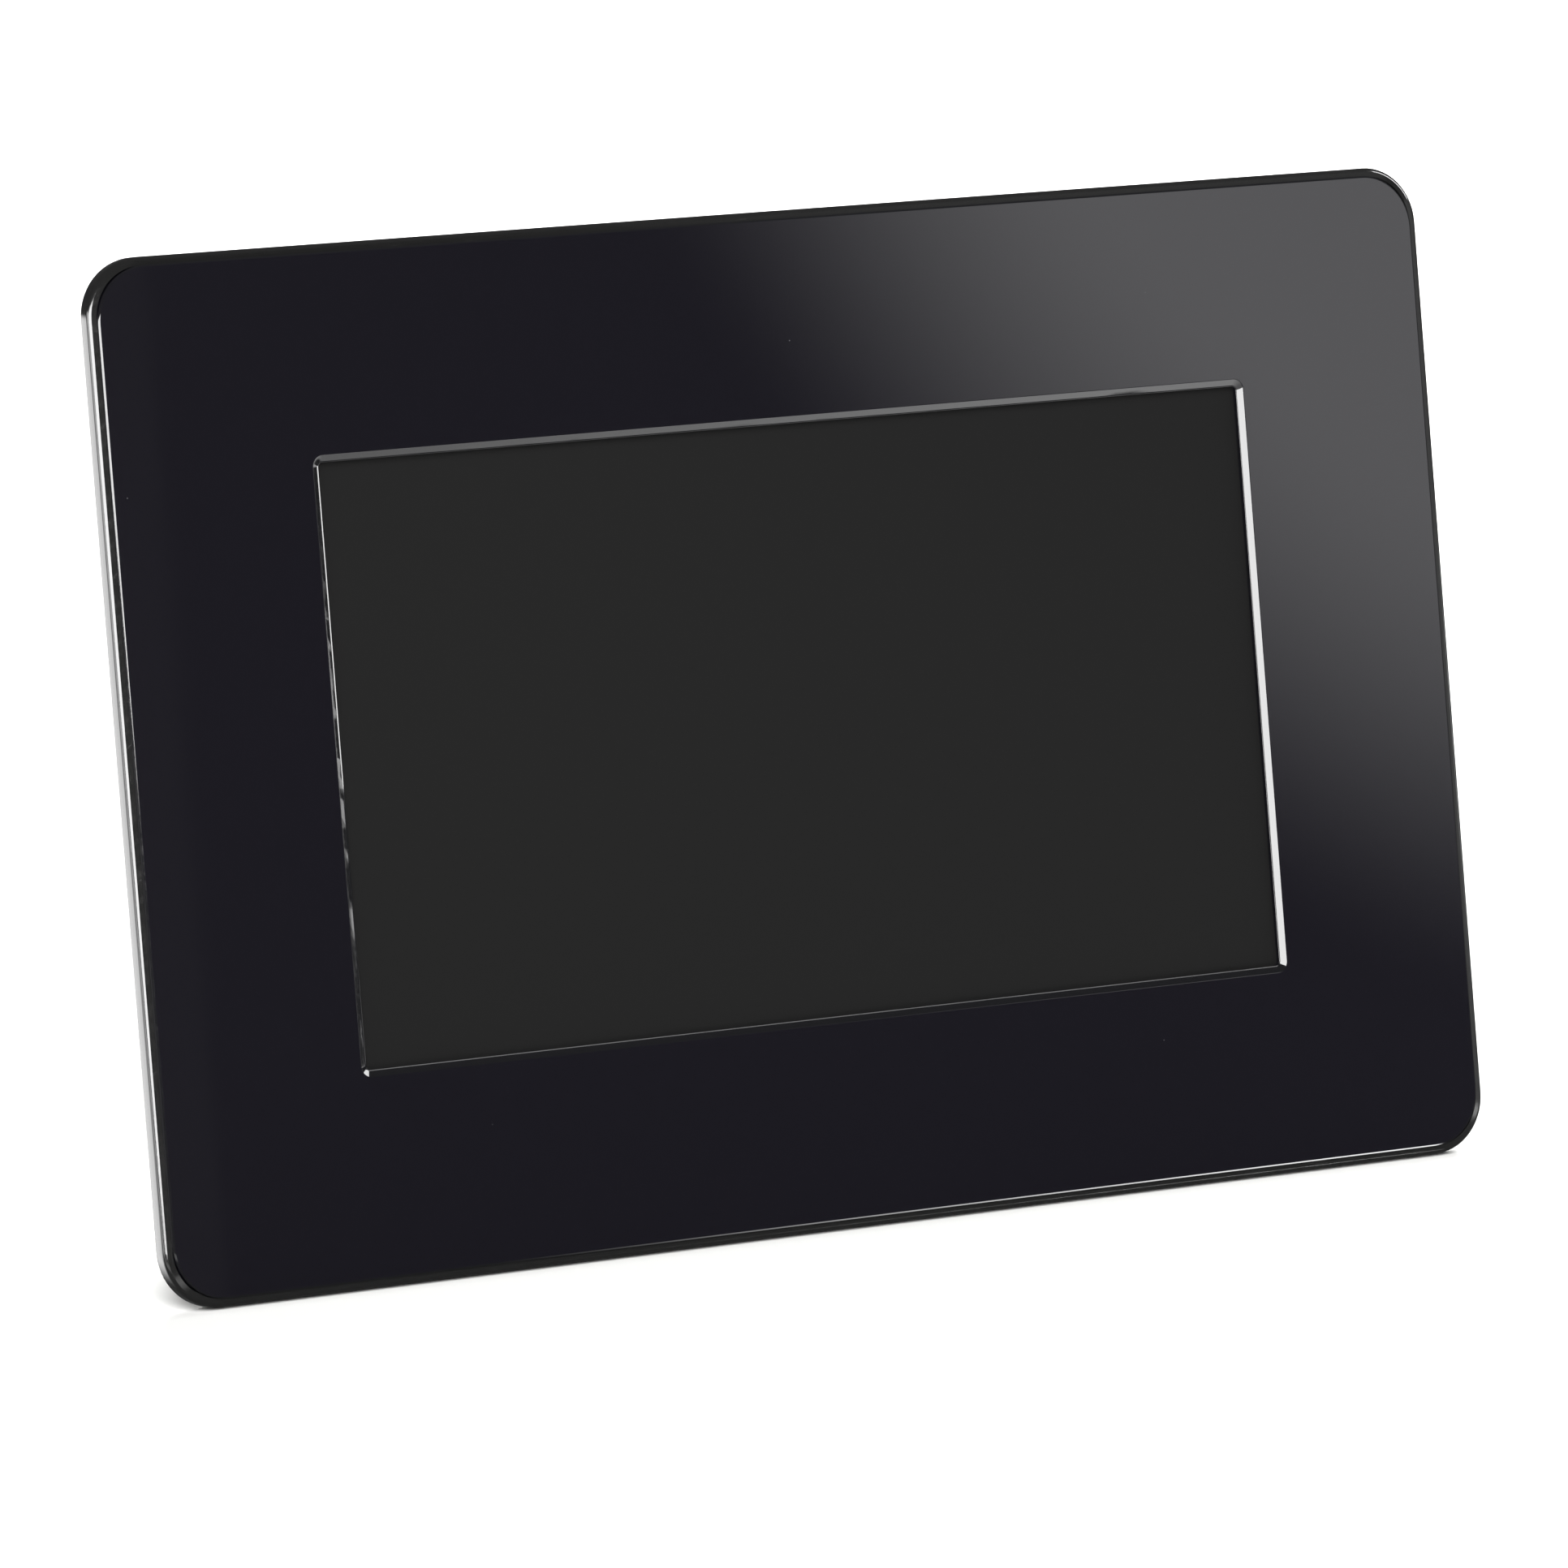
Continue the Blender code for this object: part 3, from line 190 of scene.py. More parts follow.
def mount(name):
    """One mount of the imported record."""
    return next(m for m in frame["record"]["mounts"] if m["name"] == name)


def leg_joint():
    """The joint that folds the leg."""
    return next(j for j in frame["joints"] if j["name"] == "leg_fold")


def panel_matrix():
    """From the frame's own directions to the standing frame's."""
    face = mount("front_face")
    outward = Vector(face["axis"])
    lean = math.atan2(outward.z, -outward.y)
    low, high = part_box("lcd_glass")
    middle = (low + high) / 2
    origin = middle + outward * (Vector(face["pos_m"]) - middle).dot(outward)
    return Matrix.Translation(origin) @ Matrix.Rotation(math.radians(90) - lean, 4, "X")


def leg_matrix():
    """From the leg's own directions, with Y up the leg, to the standing frame's."""
    joint = leg_joint()
    pivot = PANEL.inverted() @ Vector(joint["pos_m"])
    opening = math.radians(-joint["range_deg"][0])
    return PANEL @ Matrix.Translation(pivot) @ Matrix.Rotation(opening, 4, "X")


PANEL = panel_matrix()
LEG = leg_matrix()


class Span:
    """The box of a CAD node, in the frame's own directions or the leg's."""

    def __init__(self, node, place=None):
        inverse = (place or PANEL).inverted()
        points = [inverse @ vert.co for vert in frame["nodes"][node].data.vertices]
        self.low = Vector([min(point[i] for point in points) for i in range(3)])
        self.high = Vector([max(point[i] for point in points) for i in range(3)])
        self.middle = (self.low + self.high) / 2
        self.size = self.high - self.low
        self.front = -self.high.z
        self.back = -self.low.z


# -------- mesh making

def rounded_outline(width, height, radius, steps=CORNER_STEPS, runs=1):
    """A rounded rectangle, counter-clockwise, with each straight side cut into equal runs."""
    corners = []
    for corner, (side, level) in enumerate(CORNER_SIGNS):
        middle = Vector((side * (width / 2 - radius), level * (height / 2 - radius)))
        arc = []
        for step in range(steps + 1):
            angle = math.radians(90) * (corner + step / steps)
            arc.append(middle + radius * Vector((math.cos(angle), math.sin(angle))))
        corners.append(arc)
    points = []
    for arc, following in zip(corners, corners[1:] + corners[:1]):
        points.extend(arc)
        points.extend(arc[-1].lerp(following[0], run / runs) for run in range(1, runs))
    return points


def inset_outline(points, inset):
    """A counter-clockwise outline moved inwards by an equal distance."""
    shifted = []
    count = len(points)
    for i, point in enumerate(points):
        before = (point - points[i - 1]).normalized()
        after = (points[(i + 1) % count] - point).normalized()
        along = (before + after).normalized()
        inward = Vector((-along.y, along.x))
        slant = max(inward.dot(Vector((-before.y, before.x))), 0.3)
        shifted.append(point + inward * inset / slant)
    return shifted


def ring(points, depth):
    """An outline laid at one depth."""
    return [Vector((point.x, point.y, -depth)) for point in points]


def quarter_round(depth, radius, steps):
    """Insets and depths round a front edge, from the side wall in over the front."""
    profile = []
    for step in range(steps + 1):
        angle = math.radians(90) * step / steps
        inset = radius * (1 - math.cos(angle))
        profile.append((inset, depth + radius * (1 - math.sin(angle))))
    return profile


def mirrored_round(depth, radius, steps):
    """Insets and depths round a rear edge, from the side wall in over the back."""
    return [(i, 2 * depth - d) for i, d in quarter_round(depth, radius, steps)]


def skin(rings, closed=False, materials=None):
    """A mesh over rings of equal count: capped at both ends, or closed into a loop.
    materials gives the material number of each band between two rings."""
    bm = bmesh.new()
    rows = [[bm.verts.new(point) for point in points] for points in rings]
    bands = list(zip(rows, rows[1:]))
    if closed:
        bands.append((rows[-1], rows[0]))
    else:
        bm.faces.new(rows[0])
        bm.faces.new(rows[-1])
    for number, (row, following) in enumerate(bands):
        for i in range(len(row)):
            j = (i + 1) % len(row)
            face = bm.faces.new((row[i], row[j], following[j], following[i]))
            face.material_index = materials[number] if materials else 0
    return bm


def smoothed(mesh):
    """The same mesh, smooth except at its real edges."""
    mesh.shade_smooth()
    mesh.set_sharp_from_angle(angle=SMOOTH_ANGLE)
    return mesh


def mesh_of(bm):
    """A finished mesh: corners welded, faces pointing out, smooth except at real edges."""
    bmesh.ops.remove_doubles(bm, verts=bm.verts, dist=WELD)
    bmesh.ops.recalc_face_normals(bm, faces=bm.faces)
    mesh = bpy.data.meshes.new("mesh")
    bm.to_mesh(mesh)
    bm.free()
    return smoothed(mesh)


def put_in(name, mesh):
    """A new object with this mesh."""
    obj = bpy.data.objects.new(name, mesh)
    bpy.context.scene.collection.objects.link(obj)
    return obj


def fit(name, mesh, nodes, finishes, body="root", place=None):
    """Stands a piece up, gives it its finishes, ties it to its body, and hides the CAD nodes it replaces."""
    mesh.transform(place or PANEL)
    numbers = [polygon.material_index for polygon in mesh.polygons]
    mesh.materials.clear()
    for finish in finishes:
        mesh.materials.append(MATERIALS[finish])
    mesh.polygons.foreach_set("material_index", numbers)
    obj = put_in(name, mesh)
    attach(obj, body)
    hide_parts(*nodes)


# -------- nodes and colours

def linear(hex_colour):
    """An sRGB hex colour as linear RGBA."""
    channels = [int(hex_colour[i:i + 2], 16) / 255 for i in (0, 2, 4)]
    return (*[c / 12.92 if c <= 0.04045 else ((c + 0.055) / 1.055) ** 2.4 for c in channels], 1)


def add(tree, kind, inputs=None, **settings):
    """A node with its settings, and its inputs set to a value or linked to a socket."""
    made = tree.nodes.new(kind)
    for name, value in settings.items():
        setattr(made, name, value)
    for name, value in (inputs or {}).items():
        if isinstance(value, bpy.types.NodeSocket):
            tree.links.new(value, made.inputs[name])
        else:
            made.inputs[name].default_value = value
    return made


# -------- shapes cut and repeated

def plate_rings(points, front, back, edge=0.0, front_edge=None, steps=3):
    """Rings for a plate between two depths, with rounded edges front and back."""
    front_edge = edge if front_edge is None else front_edge
    rings = []
    if front_edge:
        rings.append(ring(inset_outline(points, front_edge * 1.3), front))
        for inset, depth in reversed(quarter_round(front, front_edge, steps)):
            rings.append(ring(inset_outline(points, inset), depth))
    else:
        rings.append(ring(points, front))
    if edge:
        for inset, depth in mirrored_round(back, edge, steps):
            rings.append(ring(inset_outline(points, inset), depth))
        rings.append(ring(inset_outline(points, edge * 1.3), back))
    else:
        rings.append(ring(points, back))
    return rings


def pocket_rings(points, top, floor, chamfer):
    """Rings of a cutter whose mouth opens backwards at the top depth with a chamfer."""
    wide = inset_outline(points, -chamfer)
    return [
        ring(points, floor), ring(points, top - chamfer), ring(wide, top),
        ring(inset_outline(points, -1.5 * chamfer), top + 0.5 * chamfer)]


def circle(radius, steps=32):
    """A round outline."""
    return [
        radius * Vector((math.cos(math.tau * i / steps), math.sin(math.tau * i / steps)))
        for i in range(steps)]


def at(points, x, y):
    """An outline moved sideways."""
    return [point + Vector((x, y)) for point in points]


def box_corners(width, height, x=0, y=0):
    """The outline of a plain rectangle."""
    return [Vector((x + i * width / 2, y + j * height / 2)) for i, j in CORNER_SIGNS]


def ring_pair(points, front, back):
    """Rings of a plain prism between two depths."""
    return [ring(points, front), ring(points, back)]


def corner_places(place):
    """The four mirror images of a place in the first quarter."""
    return [(i * place[0], j * place[1]) for i in (-1, 1) for j in (-1, 1)]


def prisms(radius, places, front, back, steps=32):
    """Rings of round prisms, one at each place."""
    return [ring_pair(at(circle(radius, steps), x, y), front, back) for x, y in places]


def turned(profile, steps=32):
    """Rings of a body turned about Z, from pairs of radius and depth."""
    return [ring(circle(radius, steps), depth) for radius, depth in profile]


def tube(profile, x, y):
    """A tube turned about one place, from pairs of radius and depth."""
    rings = [ring(at(circle(radius), x, y), depth) for radius, depth in profile]
    return mesh_of(skin(rings, closed=True))


def bodies(*ring_sets):
    """Several closed bodies in one mesh."""
    joined = bmesh.new()
    for rings in ring_sets:
        part = bpy.data.meshes.new("part")
        single = skin(rings)
        bmesh.ops.recalc_face_normals(single, faces=single.faces)
        single.to_mesh(part)
        single.free()
        joined.from_mesh(part)
        bpy.data.meshes.remove(part)
    return mesh_of(joined)


def moved(mesh, matrix):
    """The same mesh, placed by a matrix."""
    mesh.transform(matrix)
    return mesh


def evaluated_mesh(obj):
    """The mesh an object's modifiers make, with the object itself removed."""
    seen = obj.evaluated_get(bpy.context.evaluated_depsgraph_get())
    mesh = bpy.data.meshes.new_from_object(seen)
    bpy.data.objects.remove(obj)
    return mesh


def carve(mesh, tool, operation="DIFFERENCE"):
    """One mesh with another cut out of it, joined to it, or kept in common with it."""
    obj = put_in("carved", mesh)
    other = put_in("tool", tool)
    modifier = obj.modifiers.new("carve", "BOOLEAN")
    modifier.operation = operation
    modifier.solver = "EXACT"
    modifier.object = other
    result = evaluated_mesh(obj)
    bpy.data.objects.remove(other)
    bm = bmesh.new()
    bm.from_mesh(result)
    return mesh_of(bm)


def paint(mesh, number, above=-math.inf):
    """Gives a material number to every face whose middle is above a level."""
    for polygon in mesh.polygons:
        if polygon.center.z > above:
            polygon.material_index = number
    return mesh


def joined_meshes(*meshes):
    """Several meshes in one, each keeping its own material numbers."""
    bm = bmesh.new()
    for mesh in meshes:
        bm.from_mesh(mesh)
    result = bpy.data.meshes.new("joined")
    bm.to_mesh(result)
    bm.free()
    return smoothed(result)


def pattern_tree(name, sockets, places, template):
    """A Geometry Nodes tree that sets a template on points, realises it and paints it.
    places and template are given the tree and its input node, and return sockets."""
    tree = bpy.data.node_groups.new(name, "GeometryNodeTree")
    for label, kind in sockets:
        tree.interface.new_socket(label, in_out="INPUT", socket_type=kind)
    tree.interface.new_socket("Geometry", in_out="OUTPUT", socket_type="NodeSocketGeometry")
    source = tree.nodes.new("NodeGroupInput")
    copies = add(tree, "GeometryNodeInstanceOnPoints", {
        "Points": places(tree, source), "Instance": template(tree, source)})
    solid = add(tree, "GeometryNodeRealizeInstances", {"Geometry": copies.outputs[0]})
    painted = add(tree, "GeometryNodeSetMaterial", {
        "Geometry": solid.outputs[0], "Material": source.outputs["Material"]})
    add(tree, "NodeGroupOutput", {"Geometry": painted.outputs[0]})
    return tree


def grid_places(tree, source):
    """Points in a grid of equal steps, centred on the origin."""
    spans = []
    for count, step in (("Columns", "Column Step"), ("Rows", "Row Step")):
        gaps = add(tree, "ShaderNodeMath", {0: source.outputs[count], 1: 1.0}, operation="SUBTRACT")
        spans.append(add(
            tree, "ShaderNodeMath", {0: gaps.outputs[0], 1: source.outputs[step]},
            operation="MULTIPLY").outputs[0])
    return add(tree, "GeometryNodeMeshGrid", {
        "Size X": spans[0], "Size Y": spans[1],
        "Vertices X": source.outputs["Columns"], "Vertices Y": source.outputs["Rows"]}).outputs[0]


def template_object(tree, source):
    """The geometry of the object given as the template."""
    return add(
        tree, "GeometryNodeObjectInfo", {"Object": source.outputs["Template"]}).outputs["Geometry"]


REPEAT_IN_GRID = pattern_tree(
    "repeat_in_grid",
    (("Geometry", "NodeSocketGeometry"), ("Columns", "NodeSocketInt"), ("Rows", "NodeSocketInt"),
     ("Column Step", "NodeSocketFloat"), ("Row Step", "NodeSocketFloat"),
     ("Material", "NodeSocketMaterial")),
    grid_places, lambda tree, source: source.outputs["Geometry"])

COPIES_AT_POINTS = pattern_tree(
    "copies_at_points",
    (("Geometry", "NodeSocketGeometry"), ("Template", "NodeSocketObject"),
     ("Material", "NodeSocketMaterial")),
    lambda tree, source: source.outputs["Geometry"], template_object)


def run_tree(tree, mesh, **values):
    """The plain mesh that a tree makes from a mesh and its named inputs."""
    obj = put_in(tree.name, mesh)
    modifier = obj.modifiers.new(tree.name, "NODES")
    modifier.node_group = tree
    for item in tree.interface.items_tree:
        key = item.name.replace(" ", "_").lower()
        if item.in_out == "INPUT" and key in values:
            modifier[item.identifier] = values[key]
    return smoothed(evaluated_mesh(obj))


def in_grid(mesh, columns, rows, column_step, row_step, finish):
    """A mesh repeated in a grid."""
    return run_tree(
        REPEAT_IN_GRID, mesh, columns=columns, rows=rows, column_step=column_step,
        row_step=row_step, material=MATERIALS[finish])


def at_points(template, points, finish):
    """A mesh copied to each point."""
    places = bpy.data.meshes.new("places")
    places.from_pydata(points, [], [])
    holder = put_in("template", template)
    result = run_tree(COPIES_AT_POINTS, places, template=holder, material=MATERIALS[finish])
    bpy.data.objects.remove(holder)
    return result


# -------- material making

def new_surface(name, colour, roughness, metallic=0.0, **sockets):
    """A Principled material, with the object's coordinates ready for its patterns."""
    material = bpy.data.materials.new(name)
    material.use_nodes = True
    tree = material.node_tree
    shader = tree.nodes["Principled BSDF"]
    shader.inputs["Base Color"].default_value = linear(colour)
    shader.inputs["Roughness"].default_value = roughness
    shader.inputs["Metallic"].default_value = metallic
    for socket, value in sockets.items():
        shader.inputs[socket.replace("_", " ")].default_value = value
    place = add(tree, "ShaderNodeTexCoord").outputs["Object"]
    return material, tree, shader, place


def upright(tree, place):
    """Object coordinates turned to the frame's own directions."""
    back = PANEL.inverted()
    return add(
        tree, "ShaderNodeMapping",
        {"Vector": place, "Location": back.to_translation(), "Rotation": back.to_euler()},
        vector_type="POINT").outputs["Vector"]


def speckle(tree, place, size, detail=2.0):
    """Noise whose features are about this size, in the units of its coordinates."""
    return add(tree, "ShaderNodeTexNoise", {
        "Vector": place, "Scale": 1 / size, "Detail": detail}).outputs["Fac"]


def spread(tree, value, low, high, start=0.3, stop=0.7, **settings):
    """A pattern's value remapped between two numbers."""
    return add(
        tree, "ShaderNodeMapRange",
        {"Value": value, "From Min": start, "From Max": stop, "To Min": low, "To Max": high},
        **settings).outputs["Result"]


def chained(tree, operation, *values):
    """Several values multiplied together, or added together."""
    total = values[0]
    for value in values[1:]:
        total = add(
            tree, "ShaderNodeMath", {0: total, 1: value}, operation=operation).outputs[0]
    return total


def relief(tree, shader, height, depth):
    """Raises the surface by a pattern, up to a depth in metres."""
    bump = add(tree, "ShaderNodeBump", {"Height": height, "Distance": depth, "Strength": 1.0})
    tree.links.new(bump.outputs["Normal"], shader.inputs["Normal"])


def roughen(tree, shader, value):
    """Sets the surface's roughness by a pattern."""
    tree.links.new(value, shader.inputs["Roughness"])


def tint(tree, shader, value, first, second):
    """Colours the surface between two sRGB colours by a pattern."""
    ramp = add(tree, "ShaderNodeValToRGB", {"Fac": value})
    ramp.color_ramp.elements[0].color = linear(first)
    ramp.color_ramp.elements[1].color = linear(second)
    tree.links.new(ramp.outputs["Color"], shader.inputs["Base Color"])


# -------- finishes

def gloss_black_acrylic():
    """Cast acrylic sheet, black right through and flame polished: a deep bluish black that
    mirrors its lights sharply, with a few dust motes lying on it."""
    material, tree, shader, place = new_surface("gloss_black_acrylic", "151419", 0.03, IOR=1.49)
    motes = add(
        tree, "ShaderNodeTexVoronoi", {"Vector": place, "Scale": 1 / (7 * MM)},
        feature="F1").outputs["Distance"]
    dust = spread(tree, motes, 1.0, 0.0, 0.008, 0.014)
    tint(tree, shader, dust, "151419", "606062")
    smear = spread(tree, speckle(tree, place, 30 * MM), 0.02, 0.04)
    roughen(tree, shader, chained(tree, "ADD", smear, dust))
    return material


def polished_bevel():
    """The same acrylic where a diamond cutter bevelled it: fine lines left by the cut
    soften its highlight a little."""
    material, tree, shader, place = new_surface("polished_bevel", "151517", 0.05, IOR=1.49)
    chatter = speckle(tree, place, 0.7 * MM, 3.0)
    roughen(tree, shader, spread(tree, chatter, 0.03, 0.09))
    relief(tree, shader, chatter, 0.001 * MM)
    return material


def satin_black_abs():
    """ABS from a stoned mould: neutral black and a little softer than the panel, with
    hairline scratches from handling."""
    material, tree, shader, place = new_surface("satin_black_abs", "1c1c1c", 0.10, IOR=1.54)
    stretched = add(tree, "ShaderNodeMapping", {
        "Vector": place, "Rotation": (0.3, 0.5, 0.7),
        "Scale": (1 / (6 * MM), 1 / (0.2 * MM), 1 / (2 * MM))}).outputs["Vector"]
    hairs = speckle(tree, stretched, 1.0, 3.0)
    tint(tree, shader, spread(tree, hairs, 0.0, 1.0, 0.66, 0.74), "1b1b1b", "232323")
    roughen(tree, shader, spread(tree, hairs, 0.07, 0.15))
    return material


def anti_glare_polariser():
    """The polariser film of a switched-off screen: matt and neutral, with a very fine grain
    that spreads reflections out to nothing."""
    material, tree, shader, place = new_surface(
        "anti_glare_polariser", "181818", 0.6, Specular_IOR_Level=0.03)
    grain = speckle(tree, place, 0.12 * MM)
    tint(tree, shader, grain, "171717", "191919")
    relief(tree, shader, grain, 0.002 * MM)
    return material


def moulded_plastic(name, colour, roughness, grain, depth, patch):
    """Moulded plastic with an even eroded grain, and slightly uneven gloss from handling."""
    material, tree, shader, place = new_surface(name, colour, roughness, IOR=1.53)
    fine = speckle(tree, place, grain * MM, 3.0)
    relief(tree, shader, fine, depth * MM)
    wear = speckle(tree, place, 18 * MM, 2.0)
    roughen(tree, shader, spread(tree, wear, roughness - 0.02, roughness + 0.02))
    tint(tree, shader, fine, colour, patch)
    return material


def worked_metal(name, colour, roughness, lines, depth, second):
    """Metal whose working left lines along one direction, or grains if the lines are even."""
    material, tree, shader, place = new_surface(name, colour, roughness, 1.0)
    stretched = add(tree, "ShaderNodeMapping", {
        "Vector": place, "Scale": tuple(1 / (length * MM) for length in lines)}).outputs["Vector"]
    mark = speckle(tree, stretched, 1.0, 3.0)
    relief(tree, shader, mark, depth * MM)
    roughen(tree, shader, spread(tree, mark, roughness - 0.06, roughness + 0.08))
    tint(tree, shader, speckle(tree, place, 4 * MM), colour, second)
    return material


def circuit_board():
    """Fibreglass under green solder mask: lighter lines where copper tracks raise the mask."""
    material, tree, shader, place = new_surface("green_solder_mask", "12502c", 0.32)
    flat = upright(tree, place)
    tracks = add(
        tree, "ShaderNodeTexBrick",
        {"Vector": flat, "Scale": 1 / (6 * MM), "Mortar Size": 0.03, "Row Height": 0.22,
         "Brick Width": 0.8, "Mortar Smooth": 0.0}, offset=0.37, squash=1.6).outputs["Fac"]
    tint(tree, shader, tracks, "0f4526", "1c6b3c")
    relief(tree, shader, tracks, 0.03 * MM)
    return material


def clear_plastic():
    """Extruded acrylic light guide: clear, with the row of printed dots that lets light out."""
    material, tree, shader, place = new_surface(
        "clear_light_guide", "f2f8f8", 0.08, Transmission_Weight=0.85, IOR=1.49)
    dots = add(
        tree, "ShaderNodeTexVoronoi", {"Vector": place, "Scale": 1 / (1.2 * MM), "Randomness": 0.0},
        feature="F1").outputs["Distance"]
    roughen(tree, shader, spread(tree, dots, 0.6, 0.05, 0.25, 0.3))
    return material


# Plastics, rubber, films and print: key, name, colour, roughness, grain and its depth in
# millimetres, and the colour of the raised grains
MOULDED = (
    # Spark-eroded ABS: an even grain that scatters light to a soft dark grey
    ("cover", "spark_eroded_abs", "1d1d1f", 0.58, 0.5, 0.06, "242426"),
    ("leg", "spark_eroded_abs_leg", "1c1c1e", 0.54, 0.5, 0.06, "232325"),
    # Key caps from a finer mould: smoother, with a low sheen, and signs in flat white ink
    ("key", "fine_satin_key", "1a1a1c", 0.42, 0.2, 0.006, "1e1e20"),
    ("print", "white_pad_print", "cfd0d0", 0.5, 0.1, 0.004, "dadada"),
    # Moulded nylon and rubber: nearly matt and quite matt black
    ("nylon", "black_nylon", "17171a", 0.5, 0.3, 0.008, "1d1d20"),
    ("rubber", "black_rubber", "141415", 0.85, 0.25, 0.03, "1a1a1b"),
    # Polycarbonate, diffuser film and the lamps' strip: bright, hardly grained whites
    ("white", "white_polycarbonate", "e2e2de", 0.5, 0.3, 0.006, "ebebe8"),
    ("film", "diffuser_film", "f0f0ee", 0.7, 0.08, 0.004, "f6f6f4"),
    ("led", "led_strip_white", "e0dcc4", 0.6, 1.5, 0.05, "f0e6a8"),
    # Cables of polyimide and of polyester: smooth, with faint clouds of colour
    ("amber", "amber_polyimide", "9a5a22", 0.35, 1.2, 0.01, "b87434"),
    ("flat_cable", "white_flat_cable", "dcdcd8", 0.45, 1.0, 0.02, "ececea"),
    # Moulded epoxy: dull charcoal. Silvered polyester: a pale, even satin
    ("epoxy", "moulded_epoxy", "1f1f21", 0.55, 0.12, 0.006, "2a2a2c"),
    ("label", "silver_polyester_label", "b4b6b8", 0.38, 0.6, 0.002, "c4c6c8"),
)

# Metals: key, name, colour, roughness, length of one mark along X, Y and Z and its depth in
# millimetres, and a second colour
METALS = (
    # Zinc and nickel plate on sheet: pale greys, one with soft grains and one with fine lines
    ("steel", "zinc_plated_steel", "a9adb0", 0.34, (2, 2, 2), 0.004, "c0c4c6"),
    ("nickel", "nickel_plated_shell", "a8a9aa", 0.28, (6, 0.15, 6), 0.003, "bcbdbe"),
    # Black oxide: dark, with small glints. Ground pin: bright, with fine rings round it
    ("screw", "black_oxide_steel", "3a3b3e", 0.36, (0.3, 0.3, 0.3), 0.006, "4a4b4f"),
    ("pin", "ground_steel_pin", "c4c7ca", 0.22, (0.1, 3, 3), 0.003, "d0d3d6"),
    # Drawn aluminium and tinned leads: bright satin, and duller soft grains
    ("can", "drawn_aluminium_can", "c2c5c9", 0.3, (2, 2, 0.12), 0.003, "d2d5d9"),
    ("tin", "tinned_leads", "b0b0ae", 0.4, (0.4, 0.4, 0.4), 0.006, "c4c4c2"),
)

MATERIALS = {key: moulded_plastic(*settings) for key, *settings in MOULDED}
MATERIALS.update({key: worked_metal(*settings) for key, *settings in METALS})
MATERIALS.update({
    "acrylic": gloss_black_acrylic(), "bevel": polished_bevel(), "rim": satin_black_abs(),
    "polariser": anti_glare_polariser(), "board": circuit_board(), "guide": clear_plastic()})


# -------- front pieces

def burr_point(point, on_top):
    """A point of the burr that a cutter left: it wanders, and is worn down on the lower half."""
    wander = noise.noise(point * 900) + 0.6 * noise.noise(point * 3000)
    worn = min(max(0.5 - point.y / BURR_WORN_OVER, 0), 1)
    height = BURR_RAGGED * wander * (1 - BURR_STEADIED * worn)
    if on_top:
        height -= BURR_WORN * worn
    return point + Vector((0, 0, height))


def make_front_panel():
    """The glossy sheet: chamfered outside, and bevelled round the screen down to a burr."""
    cad = Span("front_panel")
    width = cad.size.x - 2 * PANEL_INSET
    height = cad.size.y - 2 * PANEL_INSET
    back = Span("lcd_glass").front - 0.06 * MM
    soft = 0.03 * MM
    outer = [(0, back), (0, CHAMFER_DEPTH + soft), (0.3 * soft, CHAMFER_DEPTH)]
    outer += [(0.5 * CHAMFER_WIDTH, 0.48 * CHAMFER_DEPTH), (CHAMFER_WIDTH, 0)]
    outer += [(CHAMFER_WIDTH + soft, 0), (CHAMFER_WIDTH + 4 * soft, 0)]
    rings = []
    for inset, depth in outer:
        points = rounded_outline(
            width - 2 * inset, height - 2 * inset, FACE_RADIUS - inset, runs=STRAIGHT_RUNS)
        rings.append(ring(points, depth))
    inner = [(BEVEL_WIDTH + 4 * soft, 0), (BEVEL_WIDTH + soft, 0), (BEVEL_WIDTH, 0.2 * soft)]
    inner += [(BEVEL_WIDTH - soft, 0.8 * soft), (BURR_WIDTH + soft, BURR_FOOT - 0.6 * soft)]
    inner += [(BURR_WIDTH, BURR_FOOT), (soft, BURR_FOOT - BURR_HEIGHT)]
    inner += [(0, BURR_FOOT - BURR_HEIGHT + 0.5 * soft), (0, back)]
    screen_width, screen_height = SCREEN_OPENING
    burr_foot, burr_top, burr_back = 5, 6, 7
    for number, (grow, depth) in enumerate(inner):
        radius = THROAT_RADIUS + (MOUTH_RADIUS - THROAT_RADIUS) * grow / BEVEL_WIDTH
        points = ring(rounded_outline(
            screen_width + 2 * grow, screen_height + 2 * grow, radius, runs=STRAIGHT_RUNS), depth)
        if burr_foot <= number <= burr_back:
            points = [burr_point(point, number >= burr_top) for point in points]
        rings.append(points)
    cut_bands = (1, 2, 3, 8, 9, 10, 11, 12, 13)
    numbers = [int(band in cut_bands) for band in range(len(rings))]
    mesh = mesh_of(skin(rings, closed=True, materials=numbers))
    fit("glossy_front_panel", mesh, ["front_panel"], ["acrylic", "bevel"])


